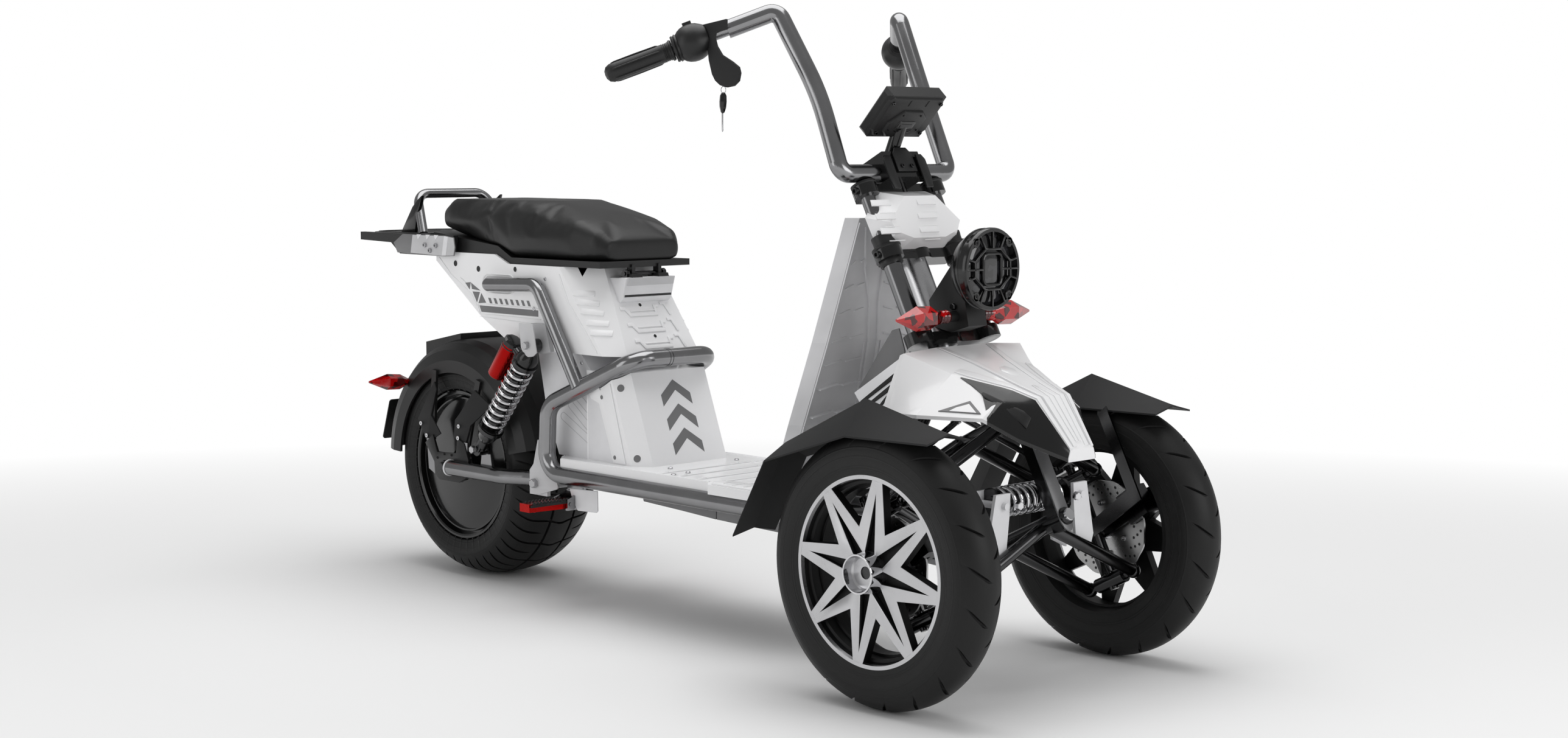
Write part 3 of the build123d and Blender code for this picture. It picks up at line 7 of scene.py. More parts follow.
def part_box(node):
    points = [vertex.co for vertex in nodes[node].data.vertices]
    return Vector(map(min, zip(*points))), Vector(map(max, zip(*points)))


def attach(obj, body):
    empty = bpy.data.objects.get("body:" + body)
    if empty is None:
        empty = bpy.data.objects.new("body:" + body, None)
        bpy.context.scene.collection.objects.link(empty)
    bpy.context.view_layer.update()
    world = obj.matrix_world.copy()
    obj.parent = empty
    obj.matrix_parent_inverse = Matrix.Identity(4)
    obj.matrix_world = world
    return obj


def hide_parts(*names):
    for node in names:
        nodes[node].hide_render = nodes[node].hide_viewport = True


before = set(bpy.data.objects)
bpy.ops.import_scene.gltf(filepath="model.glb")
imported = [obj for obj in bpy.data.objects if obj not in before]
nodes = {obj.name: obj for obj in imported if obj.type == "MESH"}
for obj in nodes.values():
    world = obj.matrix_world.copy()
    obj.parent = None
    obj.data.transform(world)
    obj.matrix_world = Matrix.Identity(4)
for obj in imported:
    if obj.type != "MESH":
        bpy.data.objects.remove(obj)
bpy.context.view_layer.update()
scene = bpy.context.scene

FRAME, HEAD = "frame", "steering"
SIDES = ((-1, "right"), (1, "left"))
ACROSS, BACK, UP = Vector((1, 0, 0)), Vector((0, 1, 0)), Vector((0, 0, 1))
# Millimetres from the origin forward to the front axle.
AXLE_AHEAD = 746
# Wheel centres and the steering axis, in metres.
FRONT_AXLE = Vector((0, -0.746, 0.228))
REAR_AXLE = Vector((0, 0.660, 0.2385))
HALF_TRACK = 0.291
LEAN = math.radians(27)
AXIS_UP = Vector((0, math.sin(LEAN), math.cos(LEAN)))
AXIS_REAR = Vector((0, math.cos(LEAN), -math.sin(LEAN)))


def at(x, distance, height):
    """Point from millimetres: side offset, distance behind the front axle, height."""
    return Vector((x, distance - AXLE_AHEAD, height)) / 1000


# ------------------------------------------------------------ shader maths
class Socket:
    """A shader value that adds, multiplies and compares like a number."""

    def __init__(self, tree, out):
        self.tree = tree
        self.out = out

    def node(self, kind, inputs, output=0, **settings):
        made = self.tree.nodes.new(kind)
        for key, value in settings.items():
            setattr(made, key, value)
        for key, value in inputs.items():
            if isinstance(value, Socket):
                self.tree.links.new(value.out, made.inputs[key])
            else:
                made.inputs[key].default_value = value
        return Socket(self.tree, made.outputs[output])

    def math(self, operation, *others, clamp=False):
        inputs = dict(enumerate((self, *others)))
        return self.node("ShaderNodeMath", inputs, operation=operation, use_clamp=clamp)

    def __add__(self, other):
        return self.math("ADD", other)

    def __sub__(self, other):
        return self.math("SUBTRACT", other)

    def __rsub__(self, other):
        return (self * -1) + other

    def __mul__(self, other):
        return self.math("MULTIPLY", other)

    def above(self, level, soft):
        """1 where the value is over a level, with a soft edge."""
        return ((self - (level - soft / 2)) * (1 / soft)).math("ADD", 0.0, clamp=True)

    def below(self, level, soft):
        return 1 - self.above(level, soft)


class Finish:
    """One material, with shorthand for the inputs and the patterns it uses."""

    def __init__(self, name):
        self.material = bpy.data.materials.new(name)
        self.material.use_nodes = True
        self.tree = self.material.node_tree
        self.shader = self.tree.nodes["Principled BSDF"]
        place = self.tree.nodes.new("ShaderNodeTexCoord")
        self.place = Socket(self.tree, place.outputs["Object"])
        split = self.tree.nodes.new("ShaderNodeSeparateXYZ")
        self.tree.links.new(place.outputs["Object"], split.inputs[0])
        self.x, self.y, self.z = (Socket(self.tree, out) for out in split.outputs)

    def set(self, **values):
        for key, value in values.items():
            socket = self.shader.inputs[key.replace("_", " ")]
            if isinstance(value, Socket):
                self.tree.links.new(value.out, socket)
            else:
                socket.default_value = value

    def noise(self, scale, detail):
        """Noise between about 0.3 and 0.7, with a scale per metre."""
        return self.place.node("ShaderNodeTexNoise", {"Vector": self.place, "Scale": scale, "Detail": detail})

    def cells(self, scale, output=0):
        return self.place.node("ShaderNodeTexVoronoi", {"Vector": self.place, "Scale": scale}, output)

    def mix(self, factor, first, second):
        """Colour between two colours."""
        return self.place.node("ShaderNodeMix", {0: factor, 6: first, 7: second}, 2, data_type="RGBA")

    def bump(self, height, strength, distance):
        inputs = {"Height": height, "Strength": strength, "Distance": distance}
        return self.place.node("ShaderNodeBump", inputs)

    def from_axle(self, axle):
        """Height and depth from an axle, and the distance to it."""
        y, z = self.y - axle.y, self.z - axle.z
        return y, z, (y * y + z * z).math("SQRT")


def grey(value, blue=1.0):
    return (value, value, value * blue, 1)


def tint(colour, share):
    """Colour with its channels multiplied."""
    return tuple(min(channel * share, 1) for channel in colour[:3]) + (1,)


def plastic(name, tone, rough=0.45, grain=2600, strength=0.12, coat=0.0, shine=0.5):
    """Moulded plastic: a fine grain, slight tone changes and worn-smooth patches."""
    made = Finish(name)
    cloud = made.noise(9, 4)
    base = grey(tone, 1.02)
    made.set(Base_Color=made.mix(cloud.above(0.5, 0.5), tint(base, 0.88), tint(base, 1.1)))
    made.set(Roughness=(cloud - 0.5) * 0.22 + rough, Coat_Weight=coat, Coat_Roughness=0.12)
    made.set(Specular_IOR_Level=shine)
    made.set(Normal=made.bump(made.noise(grain, 2), strength, 0.0004))
    return made


def paint(name, tone, rough, coat):
    """Gloss paint with a faint orange peel."""
    made = Finish(name)
    base = grey(tone, 1.01)
    made.set(Base_Color=made.mix(made.noise(5, 3).above(0.5, 0.4), tint(base, 0.97), base))
    made.set(Roughness=(made.noise(40, 3) - 0.5) * 0.12 + rough, Coat_Weight=coat, Coat_Roughness=0.06)
    made.set(Normal=made.bump(made.noise(420, 2), 0.05, 0.0004))
    return made


def metal(name, tone, rough, strength=0.06, metallic=1.0):
    """Metal with fine grain and handling marks."""
    made = Finish(name)
    grain = made.noise(500, 2)
    marks = made.noise(14, 5)
    base = grey(tone, 1.02)
    made.set(Base_Color=made.mix(marks.above(0.5, 0.5), tint(base, 0.82), base), Metallic=metallic)
    made.set(Roughness=(grain - 0.5) * 0.12 + (marks - 0.5) * 0.12 + rough)
    made.set(Normal=made.bump(grain, strength, 0.0003))
    return made


def red_metal(name, tone, rough):
    """Anodised red metal."""
    made = metal(name, tone, rough)
    for node in made.tree.nodes:
        if node.bl_idname == "ShaderNodeMix":
            node.inputs[6].default_value = (tone * 0.8, 0.004, 0.004, 1)
            node.inputs[7].default_value = (tone, 0.012, 0.01, 1)
    return made


def rubber(name, tone, axle, ribs):
    """Tyre rubber: matt, with moulded rings on the sidewall at given radii."""
    made = Finish(name)
    radius = made.from_axle(axle)[2]
    height = made.noise(900, 2) * 0.25
    for rib in ribs:
        height = height + (radius - rib).math("ABSOLUTE").below(0.0011, 0.0008)
    cloud = made.noise(12, 4)
    made.set(Base_Color=made.mix(cloud.above(0.5, 0.5), grey(tone * 0.8), grey(tone * 1.3)))
    made.set(Roughness=(cloud - 0.5) * 0.2 + 0.5, Specular_IOR_Level=0.3)
    made.set(Normal=made.bump(height, 0.5, 0.0009))
    return made


def leather(name, tone):
    """Smooth black seat cover with a fine grain."""
    made = Finish(name)
    cloud = made.noise(7, 4)
    made.set(Base_Color=made.mix(cloud.above(0.5, 0.5), grey(tone * 0.8), grey(tone * 1.25)))
    made.set(Roughness=(cloud - 0.5) * 0.16 + 0.4, Specular_IOR_Level=0.4)
    made.set(Normal=made.bump(made.cells(900), 0.1, 0.0004))
    return made


def lens(name, colour, clear, rough=0.06):
    """Clear moulded lens; dark and bright cells in its colour are painted shade and painted light of crystal
    faces.
    """
    made = Finish(name)
    cells = made.cells(70, 1)
    painted_facet_light = cells.node("ShaderNodeSeparateColor", {"Color": cells})
    # Dark cells and bright cells: painted shade and painted light of the crystal faces.
    made.set(Base_Color=made.mix(painted_facet_light.above(0.45, 0.3), tint(colour, 0.12), colour), Roughness=rough)
    made.set(Transmission_Weight=clear, IOR=1.5, Coat_Weight=0.6, Coat_Roughness=0.03)
    made.set(Normal=made.bump(made.noise(90, 1), 0.05, 0.0006))
    return made


def drilled(name, tone):
    """Brake disc steel with three rings of small holes that are not cut through: painted shade, near black
    and not metallic, with a bump.
    """
    made = metal(name, tone, 0.3)
    y, z, radius = made.from_axle(FRONT_AXLE)
    turn = z.math("ARCTAN2", y)
    rings = []
    for ring, start in ((0.063, 0.0), (0.070, 0.33), (0.077, 0.66)):
        along = (turn * (20 / (2 * math.pi)) + start).math("FRACT") - 0.5
        away = along * (2 * math.pi * ring / 20)
        inward = radius - ring
        rings.append((away * away + inward * inward).math("SQRT").below(0.0024, 0.0006))
    holes = rings[0].math("MAXIMUM", rings[1]).math("MAXIMUM", rings[2])
    shade = made.mix(made.noise(14, 5).above(0.5, 0.5), grey(tone * 0.8), grey(tone))
    # Painted shade: the holes are near black and not metallic instead of open.
    made.set(Base_Color=made.mix(holes, shade, grey(0.01)), Metallic=1 - holes)
    made.set(Normal=made.bump(holes * -1, 0.8, 0.001))
    return made


finish = {
    "black_plastic": plastic("black_plastic", 0.011, 0.4, shine=0.4),
    "black_matt": plastic("black_matt", 0.022, 0.62, shine=0.2),
    "black_gloss": plastic("black_gloss", 0.006, 0.16, 900, 0.02, coat=0.35, shine=0.35),
    "rim_black_and_hole_shade": plastic("rim_black_and_hole_shade", 0.006, 0.45, shine=0.25),
    "white": paint("white_paint", 0.9, 0.32, 0.45),
    "grey_plastic": plastic("grey_plastic", 0.56, 0.45),
    "light_plastic": plastic("light_plastic", 0.78, 0.4),
    "decal_and_shade_grey": plastic("decal_and_shade_grey", 0.17, 0.4),
    "tube": metal("tube_silver", 0.3, 0.2, strength=0.0),
    "dark_metal": metal("dark_metal", 0.075, 0.18, strength=0.0),
    "steel": metal("steel", 0.5, 0.26),
    "leg_metal": metal("leg_metal", 0.2, 0.16, strength=0.0),
    "tilt_grey": metal("tilt_grey", 0.2, 0.42, strength=0.01, metallic=0.6),
    "chrome": metal("chrome", 0.75, 0.09, strength=0.01),
    "machined": metal("machined", 0.62, 0.3),
    "red_metal": red_metal("red_metal", 0.42, 0.25),
    "key_metal": metal("key_metal", 0.5, 0.2),
    "front_tyre": rubber("front_tyre", 0.008, FRONT_AXLE, (0.166, 0.170, 0.186, 0.2)),
    "rear_tyre": rubber("rear_tyre", 0.008, REAR_AXLE, (0.162, 0.166, 0.178, 0.19)),
    "seat": leather("seat_leather", 0.009),
    "red_lens": lens("red_lens", (0.55, 0.002, 0.003, 1), 0.1),
    "smoked": lens("smoked_lens", (0.03, 0.03, 0.035, 1), 0.4),
    "screen": lens("screen_glass", (0.012, 0.012, 0.014, 1), 0.0, 0.08),
    "drilled_steel": drilled("drilled_steel", 0.5),
}
# Record slot of the pieces with each look.
cad_looks = {
    "leg_metal": "fork_legs",
    "machined": "steering_stem front_rim_right front_rim_left",
    "black_gloss": "fork_crowns headlight",
    "tube": "handlebar main_frame grab_rail swingarm",
    "black_plastic": "grips switch_housings display light_bracket belly_box seat_pan rack rear_hub"
                     " rear_fender number_plate",
    "black_matt": "front_fender_right front_fender_left",
    "white": "nose_shield hood deck battery_box body_core body_side_right body_side_left",
    "smoked": "headlight_lens",
    "red_lens": "front_indicators tail_light rear_indicators",
    "dark_metal": "front_frame trunnions tilt_damper wishbones seat_hinge shocks knuckle_right"
                  " knuckle_left tie_rod_right tie_rod_left",
    "light_plastic": "spring_ears leg_shield inner_cover",
    "chrome": "tilt_spring shock_springs",
    "grey_plastic": "rear_brackets",
    "seat": "seat_cushion",
    "front_tyre": "front_tyre_right front_tyre_left",
    "rear_tyre": "rear_tyre",
    "steel": "brake_disc_right brake_disc_left",
    "red_metal": "footpeg_right footpeg_left",
}


def give(obj, *names):
    """Sets an object's finishes, in slot order."""
    if obj.data.materials:
        obj.data.materials.clear()
    for name in names:
        obj.data.materials.append(finish[name].material)


for look, names in cad_looks.items():
    for name in names.split():
        give(nodes[name], look)


# ------------------------------------------------------------ modelling by hand
def select_only(obj):
    bpy.ops.object.select_all(action="DESELECT")
    obj.select_set(True)
    bpy.context.view_layer.objects.active = obj


def smooth(obj, angle):
    """Smooth shading except over edges sharper than an angle."""
    select_only(obj)
    bpy.ops.object.shade_smooth_by_angle(angle=math.radians(angle))
    obj.select_set(False)


def new_piece(name):
    """Names the piece that an operator has just added."""
    obj = bpy.context.active_object
    obj.name = obj.data.name = name
    return obj


def seed(name, place):
    """New piece, open for editing, with one vertex at a place in metres."""
    bpy.ops.object.select_all(action="DESELECT")
    bpy.ops.mesh.primitive_plane_add(size=0.01, location=(0, 0, 0))
    obj = new_piece(name)
    bpy.ops.object.mode_set(mode="EDIT")
    bpy.ops.mesh.select_mode(type="VERT")
    bpy.ops.mesh.select_all(action="SELECT")
    bpy.ops.mesh.merge(type="CENTER")
    bpy.ops.transform.translate(value=place)
    return obj


def draw_on(points):
    """Extrudes the selected vertex from place to place, then selects all."""
    for before, after in zip(points, points[1:]):
        bpy.ops.mesh.extrude_vertices_move(TRANSFORM_OT_translate={"value": after - before})
    bpy.ops.mesh.select_all(action="SELECT")


def pull(along):
    """Extrudes the selected faces by a vector."""
    bpy.ops.mesh.extrude_region_move(TRANSFORM_OT_translate={"value": along})


def closed_up(merge=1e-6):
    """Merges doubled vertices, turns the faces outwards and leaves edit mode."""
    bpy.ops.mesh.select_all(action="SELECT")
    bpy.ops.mesh.remove_doubles(threshold=merge)
    bpy.ops.mesh.normals_make_consistent(inside=False)
    bpy.ops.object.mode_set(mode="OBJECT")


def with_modifier(obj, kind, **settings):
    """Adds a modifier and applies it."""
    select_only(obj)
    modifier = obj.modifiers.new("step", kind)
    for key, value in settings.items():
        setattr(modifier, key, value)
    bpy.ops.object.modifier_apply(modifier=modifier.name)


def finished(obj, body, look, bevel=0.0, angle=30, spots=None):
    """Gives a piece its finishes (spots: one for each face), breaks its edges and puts it on its body."""
    looks = (look,) if isinstance(look, str) else look
    give(obj, *looks)
    if spots:
        for face, spot in zip(obj.data.polygons, spots):
            face.material_index = spot
    if bevel > 0:
        with_modifier(obj, "BEVEL", width=bevel / 1000, segments=2, limit_method="ANGLE",
                      angle_limit=math.radians(18))
    smooth(obj, angle)
    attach(obj, body)
    return obj


def prism(name, outline, origin, u, v, depth, body, look, bevel=0.0, top=1.0):
    """Outline in millimetres drawn on the plane of u and v, then extruded; top scales its far face."""
    u, v = Vector(u).normalized(), Vector(v).normalized()
    corners = [Vector(origin) + (u * a + v * b) / 1000 for a, b in outline]
    obj = seed(name, corners[0])
    draw_on(corners)
    bpy.ops.mesh.edge_face_add()
    pull(u.cross(v) * depth / 1000)
    if top != 1.0:
        bpy.ops.transform.resize(value=(top, top, top))
    closed_up()
    return finished(obj, body, look, bevel)


def joined(name, parts, body):
    """Several pieces as one object."""
    for part in parts:
        part.parent = None
    whole = parts[0]
    select_only(whole)
    for part in parts:
        part.select_set(True)
    if len(parts) > 1:
        bpy.ops.object.join()
    whole.name = whole.data.name = name
    whole.select_set(False)
    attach(whole, body)
    return whole


def square_to(direction):
    """Two directions square to one direction and to each other."""
    helper = UP if abs(direction.z) < 0.9 else BACK
    u = helper.cross(direction).normalized()
    return u, direction.cross(u)


def nearest_segment(corners, rows):
    """Mark of the profile segment, (start, end, mark), whose ends lie nearest to a face's corners."""
    def miss(row):
        ends = row[:2]
        return sum(
            min(math.dist(end, other) for other in corners) + min(math.dist(corner, e) for e in ends)
            for end, corner in zip(ends * 2, corners)
        )

    return min(rows, key=miss)[2]


def lathe(name, profile, origin, direction, body, look, steps=48, closed=False, spots=None, angle=30):
    """Turned piece: (along, radius) corners in millimetres spun round a line; a closed profile is a ring."""
    origin, direction = Vector(origin), Vector(direction).normalized()
    u = square_to(direction)[0]
    ends = ([], [profile[0]]) if closed else ([(profile[0][0], 0)], [(profile[-1][0], 0)])
    line = [origin + (direction * along + u * radius) / 1000
            for along, radius in ends[0] + list(profile) + ends[1]]
    obj = seed(name, line[0])
    draw_on(line)
    bpy.ops.mesh.spin(steps=steps, angle=2 * math.pi, center=origin, axis=direction)
    closed_up(2e-6)
    marks = []
    if spots:
        rows = list(zip(profile, profile[1:] + (profile[:1] if closed else []), spots))
        for face in obj.data.polygons:
            corners = []
            for index in face.vertices:
                place = (obj.data.vertices[index].co - origin) * 1000
                along = place.dot(direction)
                corners.append((along, (place - direction * along).length))
            marks.append(nearest_segment(corners, rows))
    return finished(obj, body, look, angle=angle, spots=marks)


def rod(name, path, radius, body, look, loop=False):
    """Round bar along a path in metres: a curve with a round bevel, made a mesh."""
    bpy.ops.object.select_all(action="DESELECT")
    bpy.ops.curve.primitive_nurbs_path_add(location=(0, 0, 0))
    curve = bpy.context.active_object.data
    curve.splines.clear()
    line = curve.splines.new("POLY")
    line.points.add(len(path) - 1)
    for point, place in zip(line.points, path):
        point.co = (*place, 1)
    line.use_cyclic_u = loop
    curve.bevel_depth = radius / 1000
    curve.bevel_resolution = 2
    curve.use_fill_caps = not loop
    bpy.ops.object.convert(target="MESH")
    obj = new_piece(name)
    bpy.ops.object.mode_set(mode="EDIT")
    closed_up()
    return finished(obj, body, look)


def bolt_head(kind):
    """Bolt head of 1 m radius that stands on the origin along Z."""
    bpy.ops.object.select_all(action="DESELECT")
    corners = 6 if kind == "hex" else 12
    bpy.ops.mesh.primitive_cylinder_add(vertices=corners, radius=1, depth=1, location=(0, 0, 0.5))
    bpy.ops.object.transform_apply(location=True, rotation=False, scale=False)
    obj = bpy.context.active_object
    bpy.ops.object.mode_set(mode="EDIT")
    bpy.ops.mesh.select_mode(type="FACE")
    bpy.ops.mesh.select_all(action="DESELECT")
    work = bmesh.from_edit_mesh(obj.data)
    for face in work.faces:
        face.select_set(face.normal.z > 0.9)
    bmesh.update_edit_mesh(obj.data)
    # Each step insets the top face or moves it up.
    steps = {
        "hex": [("in", 0.14), ("up", 0.12)],
        "button": [("up", -0.6), ("in", 0.25), ("up", 0.22), ("in", 0.28)],
        "socket": [("in", 0.12), ("up", 0.1), ("in", 0.34)],
    }
    for step, amount in steps[kind]:
        if step == "in":
            bpy.ops.mesh.inset(thickness=amount)
        else:
            bpy.ops.transform.translate(value=(0, 0, amount))
    if kind != "hex":
        pull((0, 0, -0.5))
    closed_up()
    return obj


heads = {kind: bolt_head(kind) for kind in ("socket", "hex", "button")}


def bolts(name, places, body, look, head="socket"):
    """Copies of one bolt head in one piece; each place is (point, direction, radius in millimetres)."""
    made = []
    for place, direction, radius in places:
        copy = heads[head].copy()
        copy.data = heads[head].data.copy()
        scene.collection.objects.link(copy)
        turn = Vector(direction).to_track_quat("Z", "Y").to_matrix().to_4x4()
        copy.data.transform(Matrix.Translation(place) @ turn @ Matrix.Scale(radius / 1000, 4))
        made.append(finished(copy, body, look))
    return joined(name, made, body)


def outward(side, x, spots):
    """Places on a side face, (distance, height, radius) each, that face away from the middle."""
    return [(at(side * x, distance, height), ACROSS * side, radius) for distance, height, radius in spots]


def side_plate(name, outline, x, depth, look, bevel=0.8):
    """Plate square to X from (distance, height) corners; depth may be negative."""
    plane = [(distance - AXLE_AHEAD, height) for distance, height in outline]
    if depth < 0:
        x, depth = x + depth, -depth
    return prism(name, plane, ACROSS * x / 1000, BACK, UP, depth, FRAME, look, bevel)


def side_plates(side, word, rows):
    """Plates on one side: (name, x, depth, look, bevel, outline) each."""
    for name, x, depth, look, bevel, outline in rows:
        side_plate(f"{name}_{word}", outline, side * x, side * depth, look, bevel)


def draped(name, rows, columns, place, body, look, wall=0.0, bevel=0.0, angle=30):
    """Grid whose vertices are laid on a surface by place(row, column); wall makes it thick, inwards."""
    bpy.ops.object.select_all(action="DESELECT")
    bpy.ops.mesh.primitive_grid_add(x_subdivisions=columns - 1, y_subdivisions=rows - 1, size=1,
                                    location=(0, 0, 0))
    obj = new_piece(name)
    for vertex in obj.data.vertices:
        column = round((vertex.co.x + 0.5) * (columns - 1))
        row = round((vertex.co.y + 0.5) * (rows - 1))
        vertex.co = place(row, column)
    bpy.ops.object.mode_set(mode="EDIT")
    closed_up()
    if wall:
        with_modifier(obj, "SOLIDIFY", thickness=wall / 1000, offset=0.0)
    return finished(obj, body, look, bevel, angle)


def panel(name, corners, toward, rise, sink, body, look, bevel=0.0):
    """Flat plate through corners in metres, rise millimetres out on the side of toward and sink below."""
    out = (corners[1] - corners[0]).cross(corners[2] - corners[0]).normalized()
    if out.dot(Vector(toward)) < 0:
        out = -out
    face = [corner + out * rise / 1000 for corner in corners]
    obj = seed(name, face[0])
    draw_on(face)
    bpy.ops.mesh.edge_face_add()
    pull(-out * (rise + sink) / 1000)
    closed_up()
    return finished(obj, body, look, bevel)


def instead_of(node, piece):
    """Hides a CAD solid that the piece is shown in place of; the piece argument is not used."""
    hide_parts(node)


def polar(radius, turn):
    return (radius * math.cos(turn), radius * math.sin(turn))


def rounded_box(width, height, corner):
    """Outline of a rounded rectangle round the origin, in millimetres."""
    outline = []
    for quarter, (sx, sy) in enumerate(((1, 1), (-1, 1), (-1, -1), (1, -1))):
        for step in range(5):
            x, y = polar(corner, math.pi / 2 * (quarter + step / 4))
            outline.append((sx * (width / 2 - corner) + x, sy * (height / 2 - corner) + y))
    return outline


def racetrack(length, half, steps=10):
    """Outline with two round ends, centred, as long as length over all."""
    outline = []
    for sign in (1, -1):
        for step in range(steps + 1):
            x, y = polar(half, -math.pi / 2 + math.pi * step / steps)
            outline.append((sign * (length / 2 - half + x), sign * y))
    return outline


def placed(outline, middle, lean=0.0):
    """Outline moved to a middle and turned by an angle in degrees."""
    c, s = polar(1, math.radians(lean))
    return [(middle[0] + a * c - b * s, middle[1] + a * s + b * c) for a, b in outline]


def band(points, width):
    """Outline of a strip of even width along a few points."""
    points = [Vector(point) for point in points]
    left, right = [], []
    for number, point in enumerate(points):
        before = points[max(number - 1, 0)]
        after = points[min(number + 1, len(points) - 1)]
        into = (point - before).normalized() if number else (after - point).normalized()
        away = (after - point).normalized() if number < len(points) - 1 else into
        middle = (into + away).normalized()
        normal = Vector((-middle.y, middle.x))
        reach = width / 2 / max(normal.dot(Vector((-into.y, into.x))), 0.4)
        left.append(point + normal * reach)
        right.append(point - normal * reach)
    return right + left[::-1]


def hole_ring(name, places, hole_shade="decal_and_shade_grey"):
    """Short white rims round dark holes that are not open: each is closed by a flat disc in a dark finish,
    painted shade. Each place is (point, direction, radius in millimetres).
    """
    made = []
    for point, direction, radius in places:
        profile = [(-0.5, radius), (0.5, radius), (0.9, radius - 0.8), (0.3, radius - 1.6), (0.3, 0.1)]
        made.append(lathe(name, profile, point, direction, FRAME, ("white", hole_shade), 24, spots=[0, 0, 1, 1]))
    return joined(name, made, FRAME)


# ------------------------------------------------------------ tyres
def front_section():
    """Round tyre section from one bead to the other, in (x, radius)."""
    half, radius, shoulder, bead = 47, 228, 36, 152.2
    wall = [(40.2, bead), (half - 5, bead + 8), (half - 1.5, (radius - shoulder + bead) / 2 + 4)]
    top = []
    for k in range(27):
        x = half - 2 * half * k / 26
        share = abs(x) / half
        top.append((x, radius - shoulder * (0.75 * share**2.2 + 0.25 * share**8.8)))
    return wall + top + [(-x, r) for x, r in reversed(wall)]


def rear_section():
    """Wide tyre section with steps where the two grooves run round it."""
    half, radius, shoulder = 107, 238.5, 46
    wall = [(100, 160), (103, 168), (107, 182)]
    spots = [107, 104, 98, 90, 80, 70, 60, 50, 40, 31.5, 30.6, 26.4, 25.5, 15, 5]
    top = []
    for x in spots + [-x for x in reversed(spots)]:
        share = abs(x) / half
        top.append((x, radius - shoulder * (0.72 * share**2.4 + 0.28 * share**9)))
    return wall + top + [(-x, r) for x, r in reversed(wall)]


def tread_tyre(name, axle, section, pitches, columns, tread, body, look):
    """Tyre laid round its wheel; tread(column, x) gives a column's share of a pitch and its depth."""
    around = pitches * columns

    def place(row, column):
        x, radius = section[column % len(section)]
        pitch, step = divmod(row % around, columns)
        share, depth = tread(step, x)
        y, z = polar(radius - depth, 2 * math.pi * (pitch + share) / pitches)
        return axle + Vector((x, -y, z)) / 1000

    return draped(name, around + 1, len(section) + 1, place, body, look, angle=38)


def ramp(low, high, value):
    """0 below low, 1 above high and smooth between."""
    share = min(max((value - low) / (high - low), 0), 1)
    return share * share * (3 - 2 * share)


def front_tread(step, x):
    """Curved slashes, one row on each half of the tread, half a pitch apart."""
    columns = [(0.0, 0)]
    for middle, reach, plain in ((0.12, -x, (0.26, 0.38, 0.5)), (0.62, x, (0.76, 0.88))):
        taper = ramp(4, 13, reach) * (1 - ramp(29, 41, reach))
        for edge, deep in ((-1, 0), (-0.72, 5.5), (0, 6), (0.72, 5.5), (1, 0)):
            columns.append((middle + 0.05 * edge * (0.25 + 0.75 * taper), deep * taper))
        columns += [(share, 0) for share in plain]
    share, depth = columns[step]
    return share + 0.6 * (abs(x) / 47) ** 1.6, depth


def rear_tread(step, x):
    """Long curved grooves over the tread, short ones from the shoulder, and two grooves round the tyre."""
    reach = abs(x)
    columns = [(0.0, 0)]
    shoulder = 1 - ramp(96, 104, reach)
    for middle, taper, plain in ((0.12, shoulder, (0.14, 0.26, 0.38)),
                                 (0.62, shoulder * ramp(44, 54, reach), (0.12, 0.25))):
        for edge, deep in ((-1, 0), (-0.75, 5.5), (0.75, 5.5), (1, 0)):
            columns.append((middle + 0.042 * edge * (0.2 + 0.8 * taper), deep * taper))
        columns += [(middle + share, 0) for share in plain]
    share, depth = columns[step]
    if 26 < reach < 31:
        depth = 5.5
    return share + 0.5 * (reach / 107) ** 2 + 0.10 * math.sin(reach / 18), depth


for side, word in SIDES:
    tyre = tread_tyre(f"tyre_tread_{word}", FRONT_AXLE + ACROSS * side * HALF_TRACK, front_section(), 20, 16,
                      front_tread, f"front_wheel_{word}", "front_tyre")
    instead_of(f"front_tyre_{word}", tyre)
tyre = tread_tyre("rear_tyre_tread", REAR_AXLE, rear_section(), 24, 14, rear_tread, "rear_wheel", "rear_tyre")
instead_of("rear_tyre", tyre)

# ------------------------------------------------------------ front wheels
# Star face, in millimetres and radians: its outer plane, its arms and the grooves in them.
FACE = 41.0
ARM_TURN, ARM_ROOT, ARM_TIP, TIP_TURN = 0.14, 74, 150, 0.0734
GROOVE_ROOT, GROOVE_TURN, GROOVE_END = 34, 0.31, 130
DISC_IN = 10


def wheel_face(side, word, middle):
    """Machined star with eight arms, each with a dark groove cut into it that runs to a point."""

    def plate(name, outline, out, depth, body, look):
        mirrored = [(a, side * b) for a, b in outline]
        return prism(name, mirrored, middle + ACROSS * side * out, BACK, UP * side, depth, body, look)

    outline, grooves = [], []
    for k in range(8):
        turn = math.pi / 4 * k + ARM_TURN
        outline.append(polar(ARM_ROOT, turn - math.pi / 8))
        outline += [polar(ARM_TIP, turn - TIP_TURN), polar(ARM_TIP, turn + TIP_TURN)]
        groove = [polar(GROOVE_ROOT, turn + GROOVE_TURN), polar(GROOVE_ROOT, turn - GROOVE_TURN),
                  polar(GROOVE_END, turn)]
        grooves.append(plate("groove", groove, 0.004, -15, FRAME, "rim_black_and_hole_shade"))
    star = plate(f"wheel_face_{word}", outline, -0.017, 17, f"front_wheel_{word}", "machined")
    cutter = joined("grooves", grooves, FRAME)
    with_modifier(star, "BOOLEAN", object=cutter, operation="DIFFERENCE")
    bpy.data.objects.remove(cutter)
    give(star, "machined", "rim_black_and_hole_shade")
    for face in star.data.polygons:
        on_top = face.normal.x * side > 0.9 and face.center.x * side > middle.x * side - 0.001
        face.material_index = 0 if on_top else 1
    with_modifier(star, "BEVEL", width=0.0004, segments=1, limit_method="ANGLE", angle_limit=0.6)
    return star


